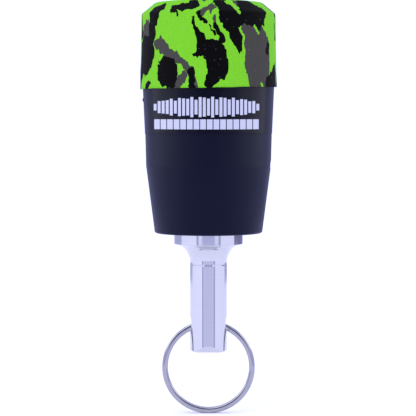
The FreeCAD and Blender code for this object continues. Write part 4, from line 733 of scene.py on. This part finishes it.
def knit_material():
    """Polyester stretch knit: matt, softly hairy, with wales and courses raised by its loops, and painted
    shade in the hollows between them.
    """
    made, tree, shader = new_material("printed_polyester_knit", IOR=1.45, Sheen_Weight=0.03,
                                      Sheen_Roughness=0.5, Specular_IOR_Level=0.04)
    place = millimetres(tree)
    drag = add_node(tree, "ShaderNodeMapping", {"Vector": place, "Scale": (1.0, 1.0, 0.6)})[0]
    torn = place
    for size, reach in TEARS:
        noise = add_node(tree, "ShaderNodeTexNoise", {"Vector": drag, "Scale": 1 / size,
                                                      "Detail": 1.0})["Color"]
        centred = add_node(tree, "ShaderNodeVectorMath", {0: noise, 1: (0.5, 0.5, 0.5)},
                           operation="SUBTRACT")[0]
        torn = add_node(tree, "ShaderNodeVectorMath", {0: centred, 1: (reach, reach, 1.5 * reach), 2: torn},
                        operation="MULTIPLY_ADD")[0]
    colour = linear(LIME)
    for strokes, tint in ((CHARCOAL_STROKES, CHARCOAL), (BLACK_STROKES, INK_BLACK), (LIME_STROKES, LIME)):
        layer = print_layer(tree, torn, strokes)
        colour = add_node(tree, "ShaderNodeMix", {0: layer, 6: colour, 7: linear(tint)}, data_type="RGBA")[2]
    uv = add_node(tree, "ShaderNodeSeparateXYZ", {0: add_node(tree, "ShaderNodeTexCoord")["UV"]})
    wales = add_node(tree, "ShaderNodeMath", {0: uv[0], 1: KNIT_WALE_MM}, operation="DIVIDE")[0]
    wale = add_node(tree, "ShaderNodeMath", {0: wales, 1: 0.5}, operation="PINGPONG")[0]
    courses = add_node(tree, "ShaderNodeMath", {0: uv[1], 1: KNIT_COURSE_MM}, operation="DIVIDE")[0]
    slanted = add_node(tree, "ShaderNodeMath", {0: courses, 1: wale}, operation="ADD")[0]
    loop = add_node(tree, "ShaderNodeMath", {0: slanted, 1: 0.5}, operation="PINGPONG")[0]
    loops = add_node(tree, "ShaderNodeMath", {0: wale, 1: loop}, operation="MULTIPLY")[0]
    fuzz = add_node(tree, "ShaderNodeTexNoise", {"Vector": place, "Scale": 1 / FUZZ_MM, "Detail": 3.0,
                                                 "Roughness": 0.7})[0]
    grain = add_node(tree, "ShaderNodeMath", {0: loops, 1: 0.8, 2: fuzz}, operation="MULTIPLY_ADD")[0]
    # The print is painted darker in the hollows between the loops and lighter on their tops, as painted
    # shade; the fuzz adds the fibres' own uneven tone.
    shade = add_node(tree, "ShaderNodeMapRange", {"Value": grain, "From Min": 0.3, "From Max": 1.0,
                                                  "To Min": 0.72, "To Max": 1.22})[0]
    shaded = add_node(tree, "ShaderNodeVectorMath", {0: colour, "Scale": shade}, operation="SCALE")[0]
    lint = add_node(tree, "ShaderNodeTexNoise", {"Vector": place, "Scale": 1 / LINT_MM, "Detail": 0.0})[0]
    specks = add_node(tree, "ShaderNodeMapRange", {"Value": lint, "From Min": 0.80, "From Max": 0.87,
                                                   "To Max": 0.22})[0]
    linty = add_node(tree, "ShaderNodeMix", {0: specks, 6: shaded, 7: linear(LINT_GREY)}, data_type="RGBA")[2]
    matt = add_node(tree, "ShaderNodeMapRange", {"Value": grain, "To Min": KNIT_ROUGHNESS[0],
                                                 "To Max": KNIT_ROUGHNESS[1]})[0]
    raised = add_node(tree, "ShaderNodeBump", {"Height": grain, "Distance": KNIT_DEPTH_MM * MM})[0]
    for value, socket in ((linty, "Base Color"), (matt, "Roughness"), (raised, "Normal")):
        tree.links.new(value, shader.inputs[socket])
    return made


sleeve = sleeve_piece()
sleeve.data.materials.append(knit_material())
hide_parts("camo_sleeve")
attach(sleeve, "sleeve")

# ---- split ring ----
# The ring is two turns of nickel-plated spring wire, rolled with crowned faces. The wire steps from
# the front turn to the back one beside its own cut ends, just where it passes through the stem.
RING_OD_MM = 31.8
WIRE_WIDE_MM = 2.0
WIRE_THICK_MM = 1.1
TURN_GAP_MM = 0.08
RING_START_DEG = 62.0
RING_TOTAL_DEG = 685.0
STEP_START_DEG = 326.5
STEP_END_DEG = 358.5
RING_STEPS = 480
WIRE_SIDES = 20
WIRE_POWER = 2.6

ring_low, ring_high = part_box("split_ring")
ring_centre = (ring_low + ring_high) / 2


def split_ring_piece():
    """Sweeps the wire's crowned section along both turns, with flat cut ends."""
    mean_r = RING_OD_MM / 2 - WIRE_WIDE_MM / 2
    offset = (WIRE_THICK_MM + TURN_GAP_MM) / 2
    section = []
    for k in range(WIRE_SIDES):
        a = 2 * math.pi * (k + 0.5) / WIRE_SIDES
        c, s = math.cos(a), math.sin(a)
        section.append((WIRE_WIDE_MM / 2 * math.copysign(abs(c) ** (2 / WIRE_POWER), c),
                        WIRE_THICK_MM / 2 * math.copysign(abs(s) ** (2 / WIRE_POWER), s)))
    points, faces = [], []
    for n in range(RING_STEPS + 1):
        turned = RING_TOTAL_DEG * n / RING_STEPS
        t = min(1.0, max(0.0, (turned - STEP_START_DEG) / (STEP_END_DEG - STEP_START_DEG)))
        depth = offset * (2 * t * t * (3 - 2 * t) - 1)
        a = math.radians(RING_START_DEG - turned)
        for across, thick in section:
            r = mean_r + across
            points.append((ring_centre.x + r * math.cos(a) * MM, ring_centre.y + (depth + thick) * MM,
                           ring_centre.z + r * math.sin(a) * MM))
    for n in range(RING_STEPS):
        for k in range(WIRE_SIDES):
            a, b = n * WIRE_SIDES + k, n * WIRE_SIDES + (k + 1) % WIRE_SIDES
            faces.append((a, b, b + WIRE_SIDES, a + WIRE_SIDES))
    faces.append(tuple(reversed(range(WIRE_SIDES))))
    faces.append(tuple(range(RING_STEPS * WIRE_SIDES, (RING_STEPS + 1) * WIRE_SIDES)))
    made = mesh_piece("spring_wire_ring", points, faces)
    work = bmesh.new()
    work.from_mesh(made.data)
    bmesh.ops.recalc_face_normals(work, faces=work.faces)
    work.to_mesh(made.data)
    work.free()
    for polygon in made.data.polygons:
        polygon.use_smooth = len(polygon.vertices) == 4
    return made


spring_wire = split_ring_piece()
spring_wire.data.materials.append(bare_metal("nickel_plated_spring_wire", ("#9E9DA2", "#ACABB0"),
                                             (0.03, 0.07), 2.5))
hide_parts("split_ring")
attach(spring_wire, "ring")
